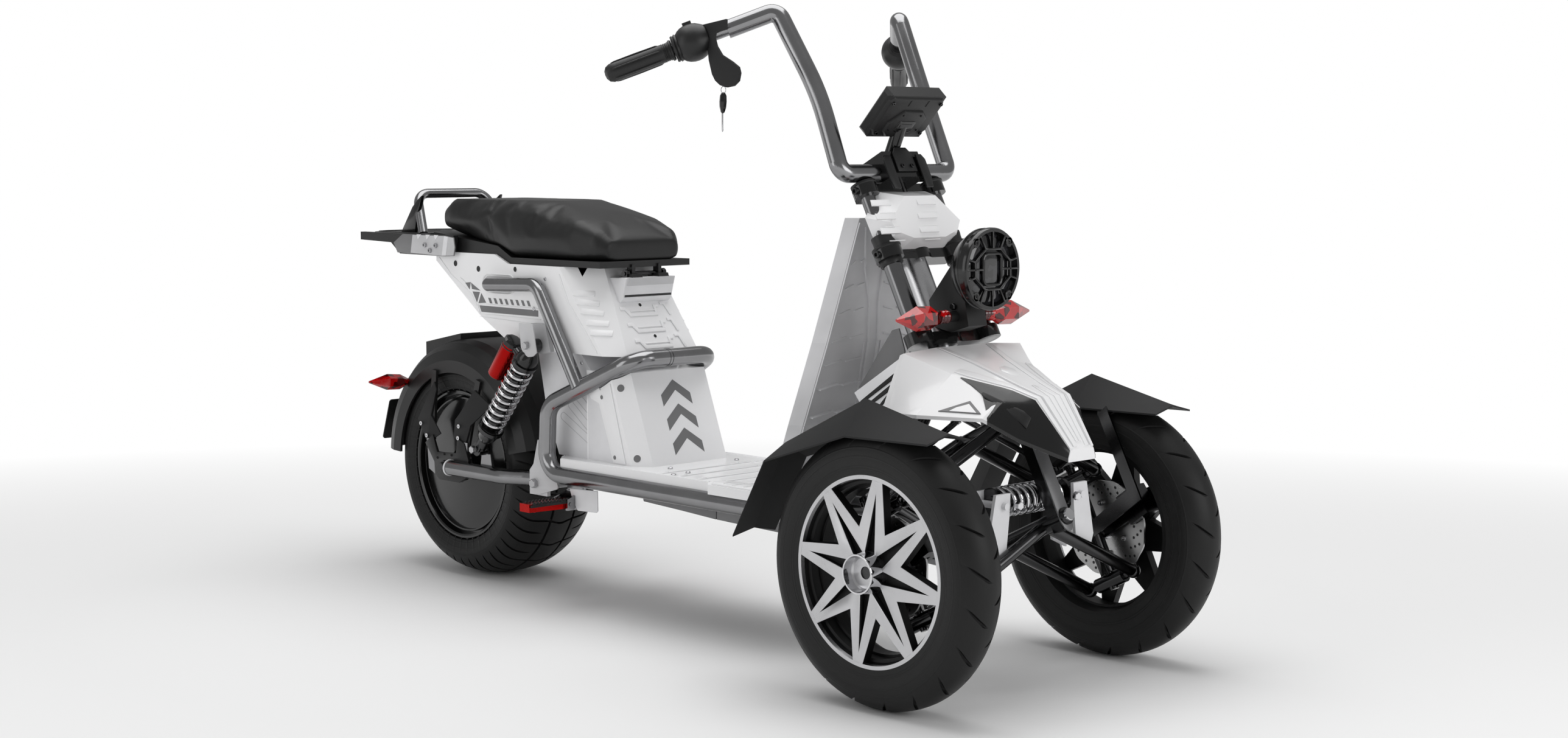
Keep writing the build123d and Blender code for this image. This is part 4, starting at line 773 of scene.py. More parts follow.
RIM_PROFILE = [
    (FACE, 163), (FACE, 149.5), (FACE - 7, 148.5), (FACE - 14, 146), (FACE - 15, 141), (FACE - 32, 140),
    (FACE - 33, 136), (FACE - 60, 136), (FACE - 61, 140), (-40.4, 146), (-40.4, 163), (-35, 163),
    (-33, 152), (FACE - 8, 152), (FACE - 6, 163),
]
CUP_PROFILE = [
    (-6, 28), (14, 30), (FACE - 8, 33), (FACE + 1, 34.5), (FACE + 22, 33), (FACE + 24, 32), (FACE + 24, 29.5),
    (FACE + 8, 27.5), (FACE + 5, 25), (FACE + 4, 10.4), (-6, 10.4),
]
for side, word in SIDES:
    wheel_middle = FRONT_AXLE + ACROSS * side * HALF_TRACK
    outside = ACROSS * side
    body = f"front_wheel_{word}"
    ring = lathe(f"rim_ring_{word}", RIM_PROFILE, wheel_middle, outside, body, ("machined", "rim_black_and_hole_shade"), 96,
                 True, [0, 0] + [1] * 12 + [0])
    cup = lathe(f"hub_cup_{word}", CUP_PROFILE, wheel_middle, outside, body, ("machined", "chrome"), 64, True,
                [0] * 3 + [1] * 4 + [0] * 4)
    star = wheel_face(side, word, FRONT_AXLE + outside * (HALF_TRACK + FACE / 1000))
    instead_of(f"front_rim_{word}", joined(f"wheel_{word}", [star, ring, cup], body))

    # Drilled disc with a scalloped edge, bolted to the hub.
    disc_middle = wheel_middle - outside * DISC_IN / 1000
    disc = lathe(f"disc_{word}", [(0, 86), (4, 86), (4, 54), (3, 52), (3, 20), (0, 20)], disc_middle, outside,
                 body, "drilled_steel", 96, True)
    for vertex in disc.data.vertices:
        spoke = Vector((0, vertex.co.y - disc_middle.y, vertex.co.z - disc_middle.z))
        if spoke.length > 0.07:
            turn = math.atan2(spoke.z, spoke.y)
            vertex.co -= spoke * (0.0011 * (1 + math.cos(turn * 12)) / spoke.length)
    instead_of(f"brake_disc_{word}", disc)
    places = [(disc_middle + Vector((-side * 0.0002, *polar(0.045, math.pi / 3 * k + 0.3))), -outside, 5)
              for k in range(6)]
    bolts(f"disc_bolts_{word}", places, body, "steel")

# ------------------------------------------------------------ body under the seat
BODY_HALF = 121
DECALS = [
    [(1368, 636), (1345, 624), (1358, 631)],
    [(1351, 625), (1336, 612), (1332, 627)],
    [(1331, 626), (1328, 613), (1299, 611)],
    [(1326, 608), (1301, 608), (1311, 586)],
    [(1296, 606), (1306, 585), (1280, 587)],
]
for number in range(8):
    end = 1273 - number * 18.2
    DECALS.append([(end, 597.5), (end - 8, 597.2), (end - 14, 586.2), (end - 6, 586.5)])
DECALS.append([(1303, 580.5), (1108, 579.5), (1108, 567), (1296, 567.5)])
# Raised trim lines: (outline, rise, bevel).
TRIMS = [
    (band([(1309, 583), (1300, 562.5), (1100, 561.5)], 2.2), 1.2, 0.4),
    (band([(1309, 583.5), (1108, 583)], 1.8), 1.2, 0.4),
    ([(1303, 558), (1100, 552), (1086, 520), (1214, 522), (1288, 556)], 1.6, 1.2),
    (band([(1041, 655), (1012, 600), (960, 545), (925, 505)], 3), 1.5, 0.7),
    (band([(1440, 674), (1400, 641), (1330, 603), (1312, 580)], 1.6), 0.8, 0.3),
]
TUBE_DOME = [(x, radius + 0.02) for radius, x in (polar(14, math.pi / 16 * k) for k in range(9))]
for side, word in SIDES:
    skin = side * BODY_HALF
    decals = [side_plate("decal", outline, skin, side * 0.4, "decal_and_shade_grey", 0) for outline in DECALS]
    joined(f"body_decal_{word}", decals, FRAME)
    trims = [side_plate("trim", outline, skin, side * rise, "white", bevel) for outline, rise, bevel in TRIMS]
    joined(f"body_trim_{word}", trims, FRAME)
    pocket = [at(skin + side * 0.6, 1236 + a, 627 + b) for a, b in racetrack(108, 19.5)]
    rod(f"tube_pocket_{word}", pocket, 1.8, FRAME, "white", True)
    # Grey plate within the rim: painted shade on the floor of the recessed tube pocket.
    prism(f"pocket_shade_{word}", placed(racetrack(100, 15.5), (490, 627)), ACROSS * (skin / 1000 - 0.0002),
          BACK, UP, 0.5, FRAME, "grey_plastic")
    lathe(f"seat_tube_end_{word}", TUBE_DOME, at(side * 135, 1251.6, 626.1), (0, 1, -0.04), FRAME, "tube", 32)
    hole_ring(f"body_holes_{word}",
              outward(side, BODY_HALF, [(1383, 664, 7), (1304, 655.5, 7), (1181, 659, 6)]), "black_plastic")
    screws = outward(side, BODY_HALF, [(1084, 643.5, 3.8), (1121, 582, 4.2), (972, 484, 3.8)])
    bolts(f"body_screws_{word}", screws, FRAME, "chrome", "button")

# Sloping front of the body, with three rows of raised maze and louvres on each corner.
front_low, front_high = at(0, 868, 500), at(0, 966, 669)
front_up = (front_high - front_low).normalized()
rows = []
for number in range(3):
    s, x = 88 - number * 35.5, number * 4
    for strip, width in (
        ([(x - 68, s + 15), (x - 56, s + 15), (x - 46, s), (x + 23, s)], 7.5),
        ([(x + 20, s + 2), (x + 20, s + 17), (x + 30, s + 17)], 6),
        ([(x + 36, s + 22), (x + 47, s + 22), (x + 55, s - 4)], 6),
        ([(x - 44, s + 8), (x + 17, s + 8)], 2),
    ):
        rows.append(prism("maze", band(strip, width), front_low, ACROSS, front_up, 2.4, FRAME, "white", 0.7))
joined("front_maze", rows, FRAME)
hole_ring("front_holes", [(front_low + ACROSS * x / 1000 + front_up * s / 1000, ACROSS.cross(front_up), 4.5)
                          for x, s in ((-14, 109), (-5, 40))], "black_plastic")
LOUVRES = (((121, 998, 614), (96, 962, 612)), ((122, 986, 597), (97, 948, 594)),
           ((122, 973, 579), (97, 934, 576)), ((122, 956, 558), (97, 919, 556)),
           ((123, 943, 539), (98, 906, 538)))
WEDGE = [(0, -0.3), (0.6, 2.6), (12.5, 0.1), (12.5, -0.3)]
for side, word in SIDES:
    low, aside_end, high = at(side * 79, 842, 490), at(side * 135, 921.2, 490), at(side * 50, 965, 700)
    out = (aside_end - low).cross(high - low).normalized() * side
    made = []
    for ends in LOUVRES:
        start, end = (at(side * x, d, z) for x, d, z in ends)
        start, end = (point - out * (point - low).dot(out) for point in (start, end))
        run = (end - start).normalized()
        up = out.cross(run) if out.cross(run).z > 0 else run.cross(out)
        origin = start if up.cross(out).dot(run) > 0 else end
        made.append(prism("louvre", WEDGE, origin, up, out, (end - start).length * 1000, FRAME, "white", 0.4))
    joined(f"corner_louvres_{word}", made, FRAME)

# Latch box under the seat hinge.
latch = [(904, 650), (916, 606), (924, 600), (940, 600), (958, 640), (958, 650)]
side_plate("latch_box", latch, -64, 128, "light_plastic", 4)
side_plate("latch_lip", [(901, 650), (906, 634), (909, 635), (905, 650)], -60, 120, "grey_plastic")
for x in (-47, 21):
    side_plate("latch_hinge", [(907, 657), (937, 657), (940, 649), (904, 649)], x, 26, "black_plastic")


# ------------------------------------------------------------ seat
def inflate(cover):
    """Blows the cover up softly with a cloth simulation."""
    cloth = cover.modifiers.new("cloth", "CLOTH")
    settings = cloth.settings
    settings.quality = 6
    settings.mass = 0.3
    settings.tension_stiffness = settings.compression_stiffness = 30
    settings.shear_stiffness = 12
    settings.bending_stiffness = 2.5
    settings.use_pressure = True
    settings.uniform_pressure_force = 4.0
    settings.effector_weights.gravity = 0.0
    settings.vertex_group_mass = "held"
    cloth.point_cache.frame_start, cloth.point_cache.frame_end = 1, 20
    for number in range(1, 21):
        scene.frame_set(number)
    bpy.context.view_layer.update()
    bpy.ops.object.modifier_apply(modifier=cloth.name)
    scene.frame_set(1)


VOXEL = 0.0055
HELD_BAND, EASED_BAND = 0.012, 0.03
cover = bpy.data.objects.new("seat_cover", nodes["seat_cushion"].data.copy())
scene.collection.objects.link(cover)
low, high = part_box("seat_cushion")
middle = (low + high) / 2
for vertex in cover.data.vertices:
    place = vertex.co
    vertex.co = (middle.x + (place.x - middle.x) * 0.972, middle.y + (place.y - middle.y) * 0.982,
                 low.z + (place.z - low.z) * 0.95)
with_modifier(cover, "REMESH", mode="VOXEL", voxel_size=VOXEL)
# The lower edge is held by the pan, and the band above it partly.
held = cover.vertex_groups.new(name="held")
for vertex in cover.data.vertices:
    if vertex.co.z < low.z + HELD_BAND:
        held.add([vertex.index], 1.0, "REPLACE")
    elif vertex.co.z < low.z + EASED_BAND:
        held.add([vertex.index], 0.25, "REPLACE")
inflate(cover)
with_modifier(cover, "SMOOTH", iterations=6)
with_modifier(cover, "SUBSURF", levels=1, render_levels=1)
# The cover stays within the cushion's own box.
for vertex in cover.data.vertices:
    vertex.co.x = min(max(vertex.co.x, low.x), high.x)
    vertex.co.y = min(max(vertex.co.y, low.y), high.y)
    vertex.co.z = min(max(vertex.co.z, low.z + 0.0004), high.z)
finished(cover, "seat", "seat", angle=60)
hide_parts("seat_cushion")

# ------------------------------------------------------------ battery box and its cover
box_low, box_high = at(0, 790, 294), at(0, 856, 470)
box_up = (box_high - box_low).normalized()
chevrons = []
for s in (168, 119, 70):
    chevron = [(5, s), (42, s - 29), (42, s - 52), (6, s - 21), (-33, s - 52), (-33, s - 29)]
    chevrons.append(prism("chevron", chevron, box_low, ACROSS, box_up, 0.45, FRAME, "decal_and_shade_grey"))
joined("battery_chevrons", chevrons, FRAME)
COVER_LINES = (((1046, 371), (967, 331)), ((1022, 395), (962, 352)), ((1010, 420), (964, 388)))
BOX_PLATES = (
    ("battery_flange", 119, 2.4, "white", 0.8,
     [(842, 296), (888, 449), (917, 434), (924, 444), (951, 425), (946, 416), (921, 408), (879, 296)]),
    ("cover_side", 119, 0.6, "light_plastic", 0.2,
     [(881, 296), (922, 408), (947, 417), (956, 440), (956, 296)]),
    ("belly_plate_rear", 112, 1.2, "decal_and_shade_grey", 0.5, [(594, 274), (594, 218), (799, 230), (813, 274)]),
    ("belly_plate_front", 112, 1.2, "decal_and_shade_grey", 0.5,
     [(592, 274), (592, 218), (562, 217.5), (430, 215), (406, 225), (406, 274)]),
)
for side, word in SIDES:
    chamfer_low, chamfer_high = at(side * 95, 790, 294), at(side * 95, 856, 470)
    out = (at(side * 119, 824, 294) - chamfer_low).cross(chamfer_high - chamfer_low).normalized() * side
    out = -out if out.y > 0 else out
    places = [at(side * 110.5, 867, 441), at(side * 111.5, 818.6, 309)]
    hole_ring(f"battery_holes_{word}", [(place - out * (place - chamfer_low).dot(out), out, 8)
                                        for place in places])
    hole_ring(f"flange_holes_{word}", outward(side, 121.3, [(911, 421, 5), (873, 307, 5)]))
    side_plates(side, word, BOX_PLATES)
    # Long capsules engraved on the cover behind the battery box, drawn as thin grey rods: painted shade of
    # the engraving.
    lines = []
    for high, low in COVER_LINES:
        run = Vector(low) - Vector(high)
        capsule = placed(racetrack(run.length + 18, 8), (Vector(low) + Vector(high)) / 2,
                         math.degrees(math.atan2(run.y, run.x)))
        lines.append(rod("line", [at(side * 108, d, z) for d, z in capsule], 0.6, FRAME, "grey_plastic",
                         True))
    joined(f"cover_lines_{word}", lines, FRAME)


# ------------------------------------------------------------ deck
def on_deck(name, outline, height, rise, look, bevel):
    """Level plate from (x, y) corners in millimetres, with its foot at a height."""
    return prism(name, outline, UP * height / 1000, ACROSS, BACK, rise, FRAME, look, bevel)


for side, word in SIDES:
    # Raised, stepped wing with three short ribs.
    pad = [(side * 120, -334), (side * 168, -304), (side * 168, -200), (side * 146, -182), (side * 120, -200)]
    on_deck(f"deck_wing_{word}", pad[::side], 293.6, 3, "white", 1.2)
    ribs = [on_deck("wing_rib", placed(racetrack(length, 2.6, 5), (side * x, y)), 296.4, 1.6, "white", 0.9)
            for x, y, length in ((146, -218, 18), (145, -246, 30), (145, -276, 30))]
    joined(f"deck_wing_ribs_{word}", ribs, FRAME)
    lip = [at(side * 147, 574, 294), at(side * 147, 1004, 294), at(side * 116, 1036, 294)]
    rod(f"deck_lip_{word}", lip, 1.6, FRAME, "white")
slats = []
for distance in (714, 662, 609, 557, 505, 453):
    for x, length in ((-28, 232), (120, 44)):
        outline = placed(racetrack(length, 4, 6), (x, distance - AXLE_AHEAD))
        slats.append(on_deck("slat", outline, 293.7, 2.6, "white", 1.4))
    for x in (-127, 53):
        joint = [at(x, distance + along, 296.2) for along in (-4.2, 4.2)]
        slats.append(rod("slat_joint", joint, 0.5, FRAME, "grey_plastic"))
joined("deck_slats", slats, FRAME)
screws = ((-100, 686), (100, 686), (-138, 684), (86, 752), (-86, 752), (138, 684), (0, 430))
bolts("deck_screws", [(at(x, d, 293.9), UP, 5) for x, d in screws], FRAME, "steel", "button")
for x in (-22, -15):
    seam = [at(x, 838, 497) + Vector((0, *polar(0.0172, math.pi / 12 * k))) for k in range(24)]
    rod("loop_seam", seam, 0.5, FRAME, "dark_metal", True)

# ------------------------------------------------------------ hood
# Half sections from the nose back: (distance, [(x, height), ...]).
HOOD = [
    (-166, [(0, 412), (22, 412), (30, 410), (34, 398), (34, 392)]),
    (-104, [(0, 493), (30, 493), (44, 491), (88, 430), (88, 424)]),
    (-60, [(0, 508), (36, 508), (56, 506), (126, 462), (126, 456)]),
    (26, [(0, 541), (50, 541), (104, 528), (190, 466), (190, 460)]),
    (92, [(0, 565), (70, 565), (150, 560), (190, 465), (190, 459)]),
]


def hood_point(side, distance, share):
    """Point on the hood: share runs 0-1 over the top, 1-2 the shoulder, 2-3 the slope, 3-4 the lip."""
    number = 0
    while number < len(HOOD) - 2 and distance > HOOD[number + 1][0]:
        number += 1
    (low, near), (high, far) = HOOD[number], HOOD[number + 1]
    t = (distance - low) / (high - low)
    k = min(int(share), 3)
    s = share - k

    def along(chain):
        return Vector(chain[k]) * (1 - s) + Vector(chain[k + 1]) * s

    x, z = along(near) * (1 - t) + along(far) * t
    return at(side * x, distance, z)


def hood_skin(name, side, rows, rise, look, bevel):
    """Raised skin on the hood. rows are (distance, first share, last share) from front to rear."""

    def place(row, column):
        distance, first, last = rows[row]
        share = first + (last - first) * column / 4
        here = hood_point(side, distance, share)
        ahead = hood_point(side, distance + 1, share)
        aside = hood_point(side, distance, share + 0.02)
        out = (ahead - here).cross(aside - here).normalized()
        return here + (out if out.z > 0 else -out) * (rise - 0.6) / 2000

    return draped(name, len(rows), 5, place, FRAME, look, rise + 0.6, bevel, 25)


# Skins: (name, rise, finish, bevel, rows).
HOOD_SKINS = (
    ("hood_insert", 0.9, "black_gloss", 0.4,
     [(-165, 2.02, 3.98), (-135, 2.02, 3.98), (-104, 2.03, 3.98), (-66, 2.03, 3.98), (-65, 2.03, 2.98),
      (-50, 2.03, 2.64), (-34, 2.03, 2.34), (-10, 2.03, 2.16), (11, 2.03, 2.05)]),
    ("hood_insert_ridge", 3.2, "black_plastic", 1.2,
     [(-108, 2.42, 2.72), (-96, 2.38, 2.66), (-40, 2.3, 2.42), (-32, 2.28, 2.33)]),
    ("hood_shoulder", 2.4, "white", 1.0,
     [(-164, 1.1, 1.97), (-104, 1.25, 1.97), (-60, 1.4, 1.97), (0, 1.5, 1.97), (26, 1.62, 1.9)]),
    ("hood_panel", 1.6, "white", 0.7,
     [(-163, 0.45, 0.86), (-104, 0.55, 0.9), (-60, 0.6, 0.93), (26, 0.7, 0.96), (88, 0.78, 0.98)]),
    # Thin grey strip along the raised panel's edge: painted shade of the channel groove.
    ("hood_groove_shade", 0.35, "grey_plastic", 0,
     [(-163, 0.9, 1.02), (-104, 0.93, 1.06), (-60, 0.955, 1.08), (26, 0.975, 1.04), (90, 0.985, 1.02)]),
    ("hood_facet", 1.8, "white", 0.9, [(-158, 0.03, 0.32), (-104, 0.05, 0.4), (-62, 0.02, 0.12)]),
)
# Each recess is a grey plate with a smaller white floor set off over it; the grey band left round the floor
# is painted shade on the recess walls.
HOOD_RECESSES = (
    ("hood_recess_shade", 2.4, "decal_and_shade_grey", ((162.6, 3, 471), (116, -25, 486), (121.9, -53, 468))),
    ("hood_recess_shade_floor", 3.2, "white", ((155, -4, 471), (121, -27, 481), (126, -47, 468.5))),
)
for side, word in SIDES:
    for name, rise, look, bevel, rows in HOOD_SKINS:
        hood_skin(f"{name}_{word}", side, rows, rise, look, bevel)
    for name, rise, look, corners in HOOD_RECESSES:
        panel(f"{name}_{word}", [at(side * x, d, z) for x, d, z in corners], UP, rise, 2, FRAME, look)
    # Pale flank behind the wing, with dark slashes.
    flank = [at(side * x, d, z) for x, d, z in
             ((146, 96, 556), (188, 104, 466), (176, 150, 452), (136, 219, 484), (134, 130, 540))]
    toward = (side, 0, 0.3)
    panel(f"hood_flank_{word}", flank, toward, 0.2, 2.6, FRAME, "light_plastic", 0.6)
    lift = Vector((side * 0.0012, 0, 0.0006))
    slashes = []
    for low, high, start, end in ((0.3, 0.42, 0.06, 0.95), (0.52, 0.64, 0.05, 0.8), (0.72, 0.96, 0.04, 0.5)):
        corners = []
        for along, share in ((start, low), (end, high), (end - 0.05, high + 0.09), (start, low + 0.12)):
            share = min(share, 1)
            front, rear = flank[0].lerp(flank[1], share), flank[3].lerp(flank[2], share)
            corners.append(front.lerp(rear, along) + lift)
        slashes.append(panel("slash", corners, toward, 0.9, 0.8, FRAME, "rim_black_and_hole_shade"))
    joined(f"hood_slashes_{word}", slashes, FRAME)
emblem_place = [(-16, 4), (-6, 17), (10, 20), (20, 6), (12, -14), (-10, -14)]
panel_up = hood_point(1, 26, 0) - hood_point(1, -60, 0)
prism("hood_blank", emblem_place, hood_point(1, -10, 0) - UP * 0.0002, ACROSS, panel_up, 0.9, FRAME, "white",
      0.6)

# ------------------------------------------------------------ steering head
SHIELD_FOOT = 728
shield_low, shield_high = at(0, 163, SHIELD_FOOT), at(0, 201, 837)
shield_up = (shield_high - shield_low).normalized()
shield_out = ACROSS.cross(shield_up)


def on_shield(x, height):
    """Point on the shield's front, with its height along the ground's vertical."""
    return shield_low + ACROSS * x / 1000 + shield_up * (height - SHIELD_FOOT) / 1000 / shield_up.z


GILL = [(-0.5, -0.4), (3.2, 0.4), (0.1, 11), (-0.5, 11)]
CREASE = [(-0.3, 0), (0.5, 0.6), (-0.3, 1.8)]
for side, word in SIDES:
    wedges = []
    for outer, inner, height in ((80, 34, 802), (76, 29, 779), (72, 25, 755)):
        for name, outline, reach, drop, bevel in (("gill", GILL, outer, 0, 0.5),
                                                  ("crease", CREASE, outer - 8, 12.5, 0)):
            start = on_shield(min(side * reach, side * inner), height - drop)
            wedges.append(prism(name, outline, start, shield_out, shield_up, reach - inner, HEAD, "white",
                                bevel))
    joined(f"shield_louvres_{word}", wedges, HEAD)

# Headlight: a turned bowl with a stepped rim, a glass dome, a mirror and a cage with bolt ears.
LAMP = at(0, 34, 697)
AHEAD = -BACK
EAR_TURNS = (47, 133, 227, 313)
bowl = [(7, 63), (7, 68.5), (4, 70), (-2, 70), (-3, 67.5), (-12, 67.5), (-13, 69), (-18, 68.5), (-38, 56),
        (-47, 40), (-52, 28), (-52, 14), (-40, 12), (-14, 58), (-2, 62)]
cage_parts = [lathe("lamp_bowl", bowl, LAMP, AHEAD, HEAD, "black_gloss", 72, True)]


def cage_bar(first, last, width):
    """Straight cage bar on the lamp's face between two (x, z) places in millimetres."""
    run = (last - first).normalized()
    beside = Vector((-run.y, run.x)) * width / 2
    places = (first + beside, last + beside, last - beside, first - beside)
    corners = [LAMP + Vector((place.x, -7.5, place.y)) / 1000 for place in places]
    cage_parts.append(panel("cage", corners, AHEAD, 0, 5, HEAD, "black_gloss", 0.8))


octagon = [Vector(corner) for corner in
           ((19, 34), (45, 13), (45, -13), (19, -34), (-19, -34), (-45, -13), (-45, 13), (-19, 34))]
for corner, following in zip(octagon, octagon[1:] + octagon[:1]):
    cage_bar(corner, following, 4)
    cage_bar(corner, corner.normalized() * 65, 3.6)
for first, last in (((0, 34), (0, 65)), ((0, -34), (0, -65)), ((-24, 0), (-66, 0)), ((24, 0), (66, 0))):
    cage_bar(Vector(first), Vector(last), 3.6)
ears = []
for turn in EAR_TURNS:
    x, z = polar(0.0615, math.radians(turn))
    ears.append(LAMP + Vector((x, 0, z)))
    cage_parts.append(lathe("ear", [(-9, 8.4), (6.4, 8.4), (7, 7.4), (7, 4), (3.5, 3.6), (3.5, 0.2)],
                            ears[-1], AHEAD, HEAD, "black_gloss", 24))
window = [LAMP + Vector((x, -5.2, z)) / 1000 for x, z in rounded_box(46, 52, 10)]
cage_parts.append(rod("window", window, 2.6, HEAD, "black_gloss", True))
instead_of("headlight", joined("headlight_cage", cage_parts, HEAD))
dome = [(-11.5, 61.8), (-4, 61.2), (-1, 57), (0.6, 47), (1.8, 33), (2.4, 16), (2.5, 0.3)]
instead_of("headlight_lens", lathe("headlight_glass", dome, LAMP, AHEAD, HEAD, "smoked", 64))
mirror = [(-30, 10), (-14, 26), (-13, 28), (-13.2, 18), (-22, 8), (-22, 0.2)]
lathe("headlight_mirror", mirror, LAMP + UP * 0.006, AHEAD, HEAD, "chrome", 40)
bolts("headlight_bolts", [(ear + AHEAD * 0.0036, AHEAD, 3.2) for ear in ears], HEAD, "dark_metal")
bolts("light_bracket_bolts", [outward(side, 24, [(92, 632, 6)])[0] for side in (-1, 1)], HEAD, "dark_metal",
      "hex")

# Display: back plates, connector and screws on the side away from the rider.
display_face = Vector((0, -0.64, -0.6)).normalized()
display_up = display_face.cross(ACROSS).normalized()
display_middle = sum(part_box("display"), Vector()) / 2


def on_display(x, up, out):
    return display_middle + ACROSS * x / 1000 + display_up * up / 1000 + display_face * (out + 12) / 1000


# Raised blocks, each drawn in at its top: (name, base, top, inset, finish, outline).
DISPLAY_BLOCKS = (
    ("display_back", -3, 3.5, 0.08, "black_plastic",
     [(-71, -30), (-71, 36), (-64, 45), (64, 45), (71, 36), (71, -30), (58, -45), (-58, -45)]),
    ("display_plate", 3.3, 8, 0.08, "black_plastic",
     [(-44, -10), (-20, 18), (26, 18), (44, 4), (44, -26), (30, -42), (-30, -42), (-44, -30)]),
    ("display_socket", 7.8, 9.6, 0.06, "black_gloss", placed(rounded_box(44, 26, 6), (0, -16))),
    ("display_pins", 9.4, 10.4, 0.04, "dark_metal", placed(rounded_box(32, 14, 3), (0, -16))),
    # The two slots are raised near-black blocks: painted shade in place of open slots.
    ("display_slot", 3, 4.2, 0.1, "rim_black_and_hole_shade", [(-20, 26), (-16, 26), (-16, 40), (-20, 40)]),
    ("display_slot", 3, 4.2, 0.1, "rim_black_and_hole_shade", [(24, 26), (28, 26), (28, 40), (24, 40)]),
)
for name, base, top, inset, look, outline in DISPLAY_BLOCKS:
    prism(name, outline, on_display(0, 0, base), ACROSS, display_up, top - base, HEAD, look, 0.8, 1 - inset)
display_screws = [(on_display(x, y, 2.6), display_face, 3.4)
                  for x, y in ((-60, 33), (60, 33), (-56, -34), (56, -34))]
display_screws += [(on_display(x, y, 7.8), display_face, 1.8)
                   for x, y in ((-20, 9), (24, 9), (36, -24), (-36, -24))]
bolts("display_screws", display_screws, HEAD, "dark_metal")
prism("display_screen", rounded_box(128, 78, 5), display_middle - display_face * 0.0118, -ACROSS, display_up,
      0.9, HEAD, "screen", 0.3)

# Fork: clamp, collars, caps and crown bolts. The legs stand behind the steering axis.
LEG_X, LEG_REAR = 85, -27


def head_point(x, rearward, reach):
    """Point from the steering axis in millimetres: side offset, distance to its rear, distance along it."""
    return at(x, -148, 0) + (AXIS_REAR * rearward + AXIS_UP * reach) / 1000


bracket = [(-24, 0), (24, 0), (24, 34), (14, 46), (-14, 46), (-24, 34)]
prism("bar_clamp_plate", bracket, head_point(0, -59, 934), ACROSS, AXIS_UP, 3, HEAD, "black_plastic", 1)
bolts("bar_clamp_bolts", [(head_point(x, -61.5, 944), -AXIS_REAR, 3.6) for x in (-12, 12)], HEAD,
      "dark_metal")
INDICATOR_STEM = [(-20, 10.5), (-16, 11.5), (-12, 9.6), (-8, 11), (-4, 9.4), (0, 11.2), (3, 12.6),
                  (5.5, 12.4), (6.2, 9)]
LEG_COLLAR = [(0, 17), (0, 19.6), (2, 20.4), (8, 20.4), (10, 19.8), (44, 19.6), (50, 20.4), (54, 20),
              (55, 15)]
clamp_ridges = []
for side, word in SIDES:
    lathe(f"indicator_root_{word}", INDICATOR_STEM, at(side * 64, 90, 616), ACROSS * side, HEAD, "red_lens",
          32)
    ridge = [(side * a, b) for a, b in ((30, -20), (47, -20), (51, 0), (51, 34), (44, 44), (30, 44))]
    clamp_ridges.append(prism("ridge", ridge, head_point(0, -59 - 2 * side, 922), ACROSS, AXIS_UP, 4, HEAD,
                              "black_plastic", 1.4))
    for reach, radius in ((783, 25), (903, 22)):
        step = [(-1.6, radius - 3), (-1.6, radius), (0, radius + 1), (3, radius + 1), (4, radius - 1),
                (4, radius - 6)]
        lathe(f"crown_ring_{word}_{reach}", step, head_point(side * LEG_X, LEG_REAR, reach + 20.5), AXIS_UP,
              HEAD, "black_plastic", 40)
        pinch = head_point(side * (LEG_X + radius - 1), LEG_REAR, reach + 11)
        bolts(f"crown_bolts_{word}_{reach}", [(pinch, ACROSS * side, 6.5)], HEAD, "black_gloss")
    lathe(f"leg_collar_{word}", LEG_COLLAR, head_point(side * LEG_X, LEG_REAR, 773), AXIS_UP, HEAD,
          "black_plastic", 40)
    lathe(f"stem_cap_{word}", [(0, 12), (3, 12), (4, 10), (4, 5), (2, 4.4), (2, 0.2)],
          head_point(side * LEG_X, LEG_REAR, 925.5), AXIS_UP, HEAD, "black_gloss", 32)
joined("bar_clamp_ridges", clamp_ridges, HEAD)

# ------------------------------------------------------------ grips, switches and key
GRIP = [(0, 12), (0, 17), (2, 18.4), (5, 18.4), (6, 16.4)]
for k in (0, 3, 6):
    GRIP += [(8 + k, 16.4), (9 + k, 15.4), (10 + k, 15.4), (11 + k, 16.4)]
GRIP += [(19, 16), (60, 16.4), (104, 16.8), (114, 16.2), (121, 13), (125, 7), (126, 0.2)]
FLUTE = ((24, 15.2), (28, 16.6), (66, 17.2), (104, 17), (110, 15.8))
BALL = [(-33, 11.4), (-33, 16.5), (-29, 17.5), (-27, 22)]
BALL += [(29 * -math.cos(math.pi * k / 12) + 1, 12 + 21 * math.sin(math.pi * k / 12)) for k in range(3, 11)]
BALL += [(26, 23.5), (29, 24.5), (31, 22), (33, 23.5), (36, 22.5), (36.8, 11.4)]
for side, word in SIDES:
    clamp_end = head_point(side * 137, -33, 944)
    bar_end = clamp_end + Vector((side * 233, 337, 170)) / 1000
    grip_way = Vector((side * 216, 199, -110)).normalized()
    grip_start = bar_end - grip_way * 0.122
    u, v = square_to(grip_way)
    parts = [lathe(f"grip_{word}", GRIP, grip_start, grip_way, HEAD, "black_plastic")]
    for k in range(6):
        a, b = polar(1, math.pi / 3 * k + 0.3)
        path = [grip_start + grip_way * d / 1000 + (u * a + v * b) * r / 1000 for d, r in FLUTE]
        parts.append(rod("flute", path, 1.5, HEAD, "black_plastic"))
    grip_cover = joined(f"grip_cover_{word}", parts, HEAD)
    middle = grip_start - grip_way * 0.037
    top = (UP - grip_way * grip_way.z).normalized()
    aside = grip_way.cross(top)
    shell = lathe(f"ball_{word}", BALL, middle, grip_way, HEAD, "black_plastic", 64)
    button = prism(f"button_{word}", rounded_box(16, 9, 2), middle + top * 0.031, grip_way, -aside, 6, HEAD,
                   "black_plastic", 1)
    lever = prism(f"switch_{word}", rounded_box(9, 6, 2), middle + grip_way * 0.004 + aside * 0.0315,
                  grip_way, top, 4, HEAD, "decal_and_shade_grey", 0.6)
    housing = joined(f"switch_ball_{word}", [shell, button, lever], HEAD)
    if side < 0:
        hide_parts("grips")
        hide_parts("switch_housings")
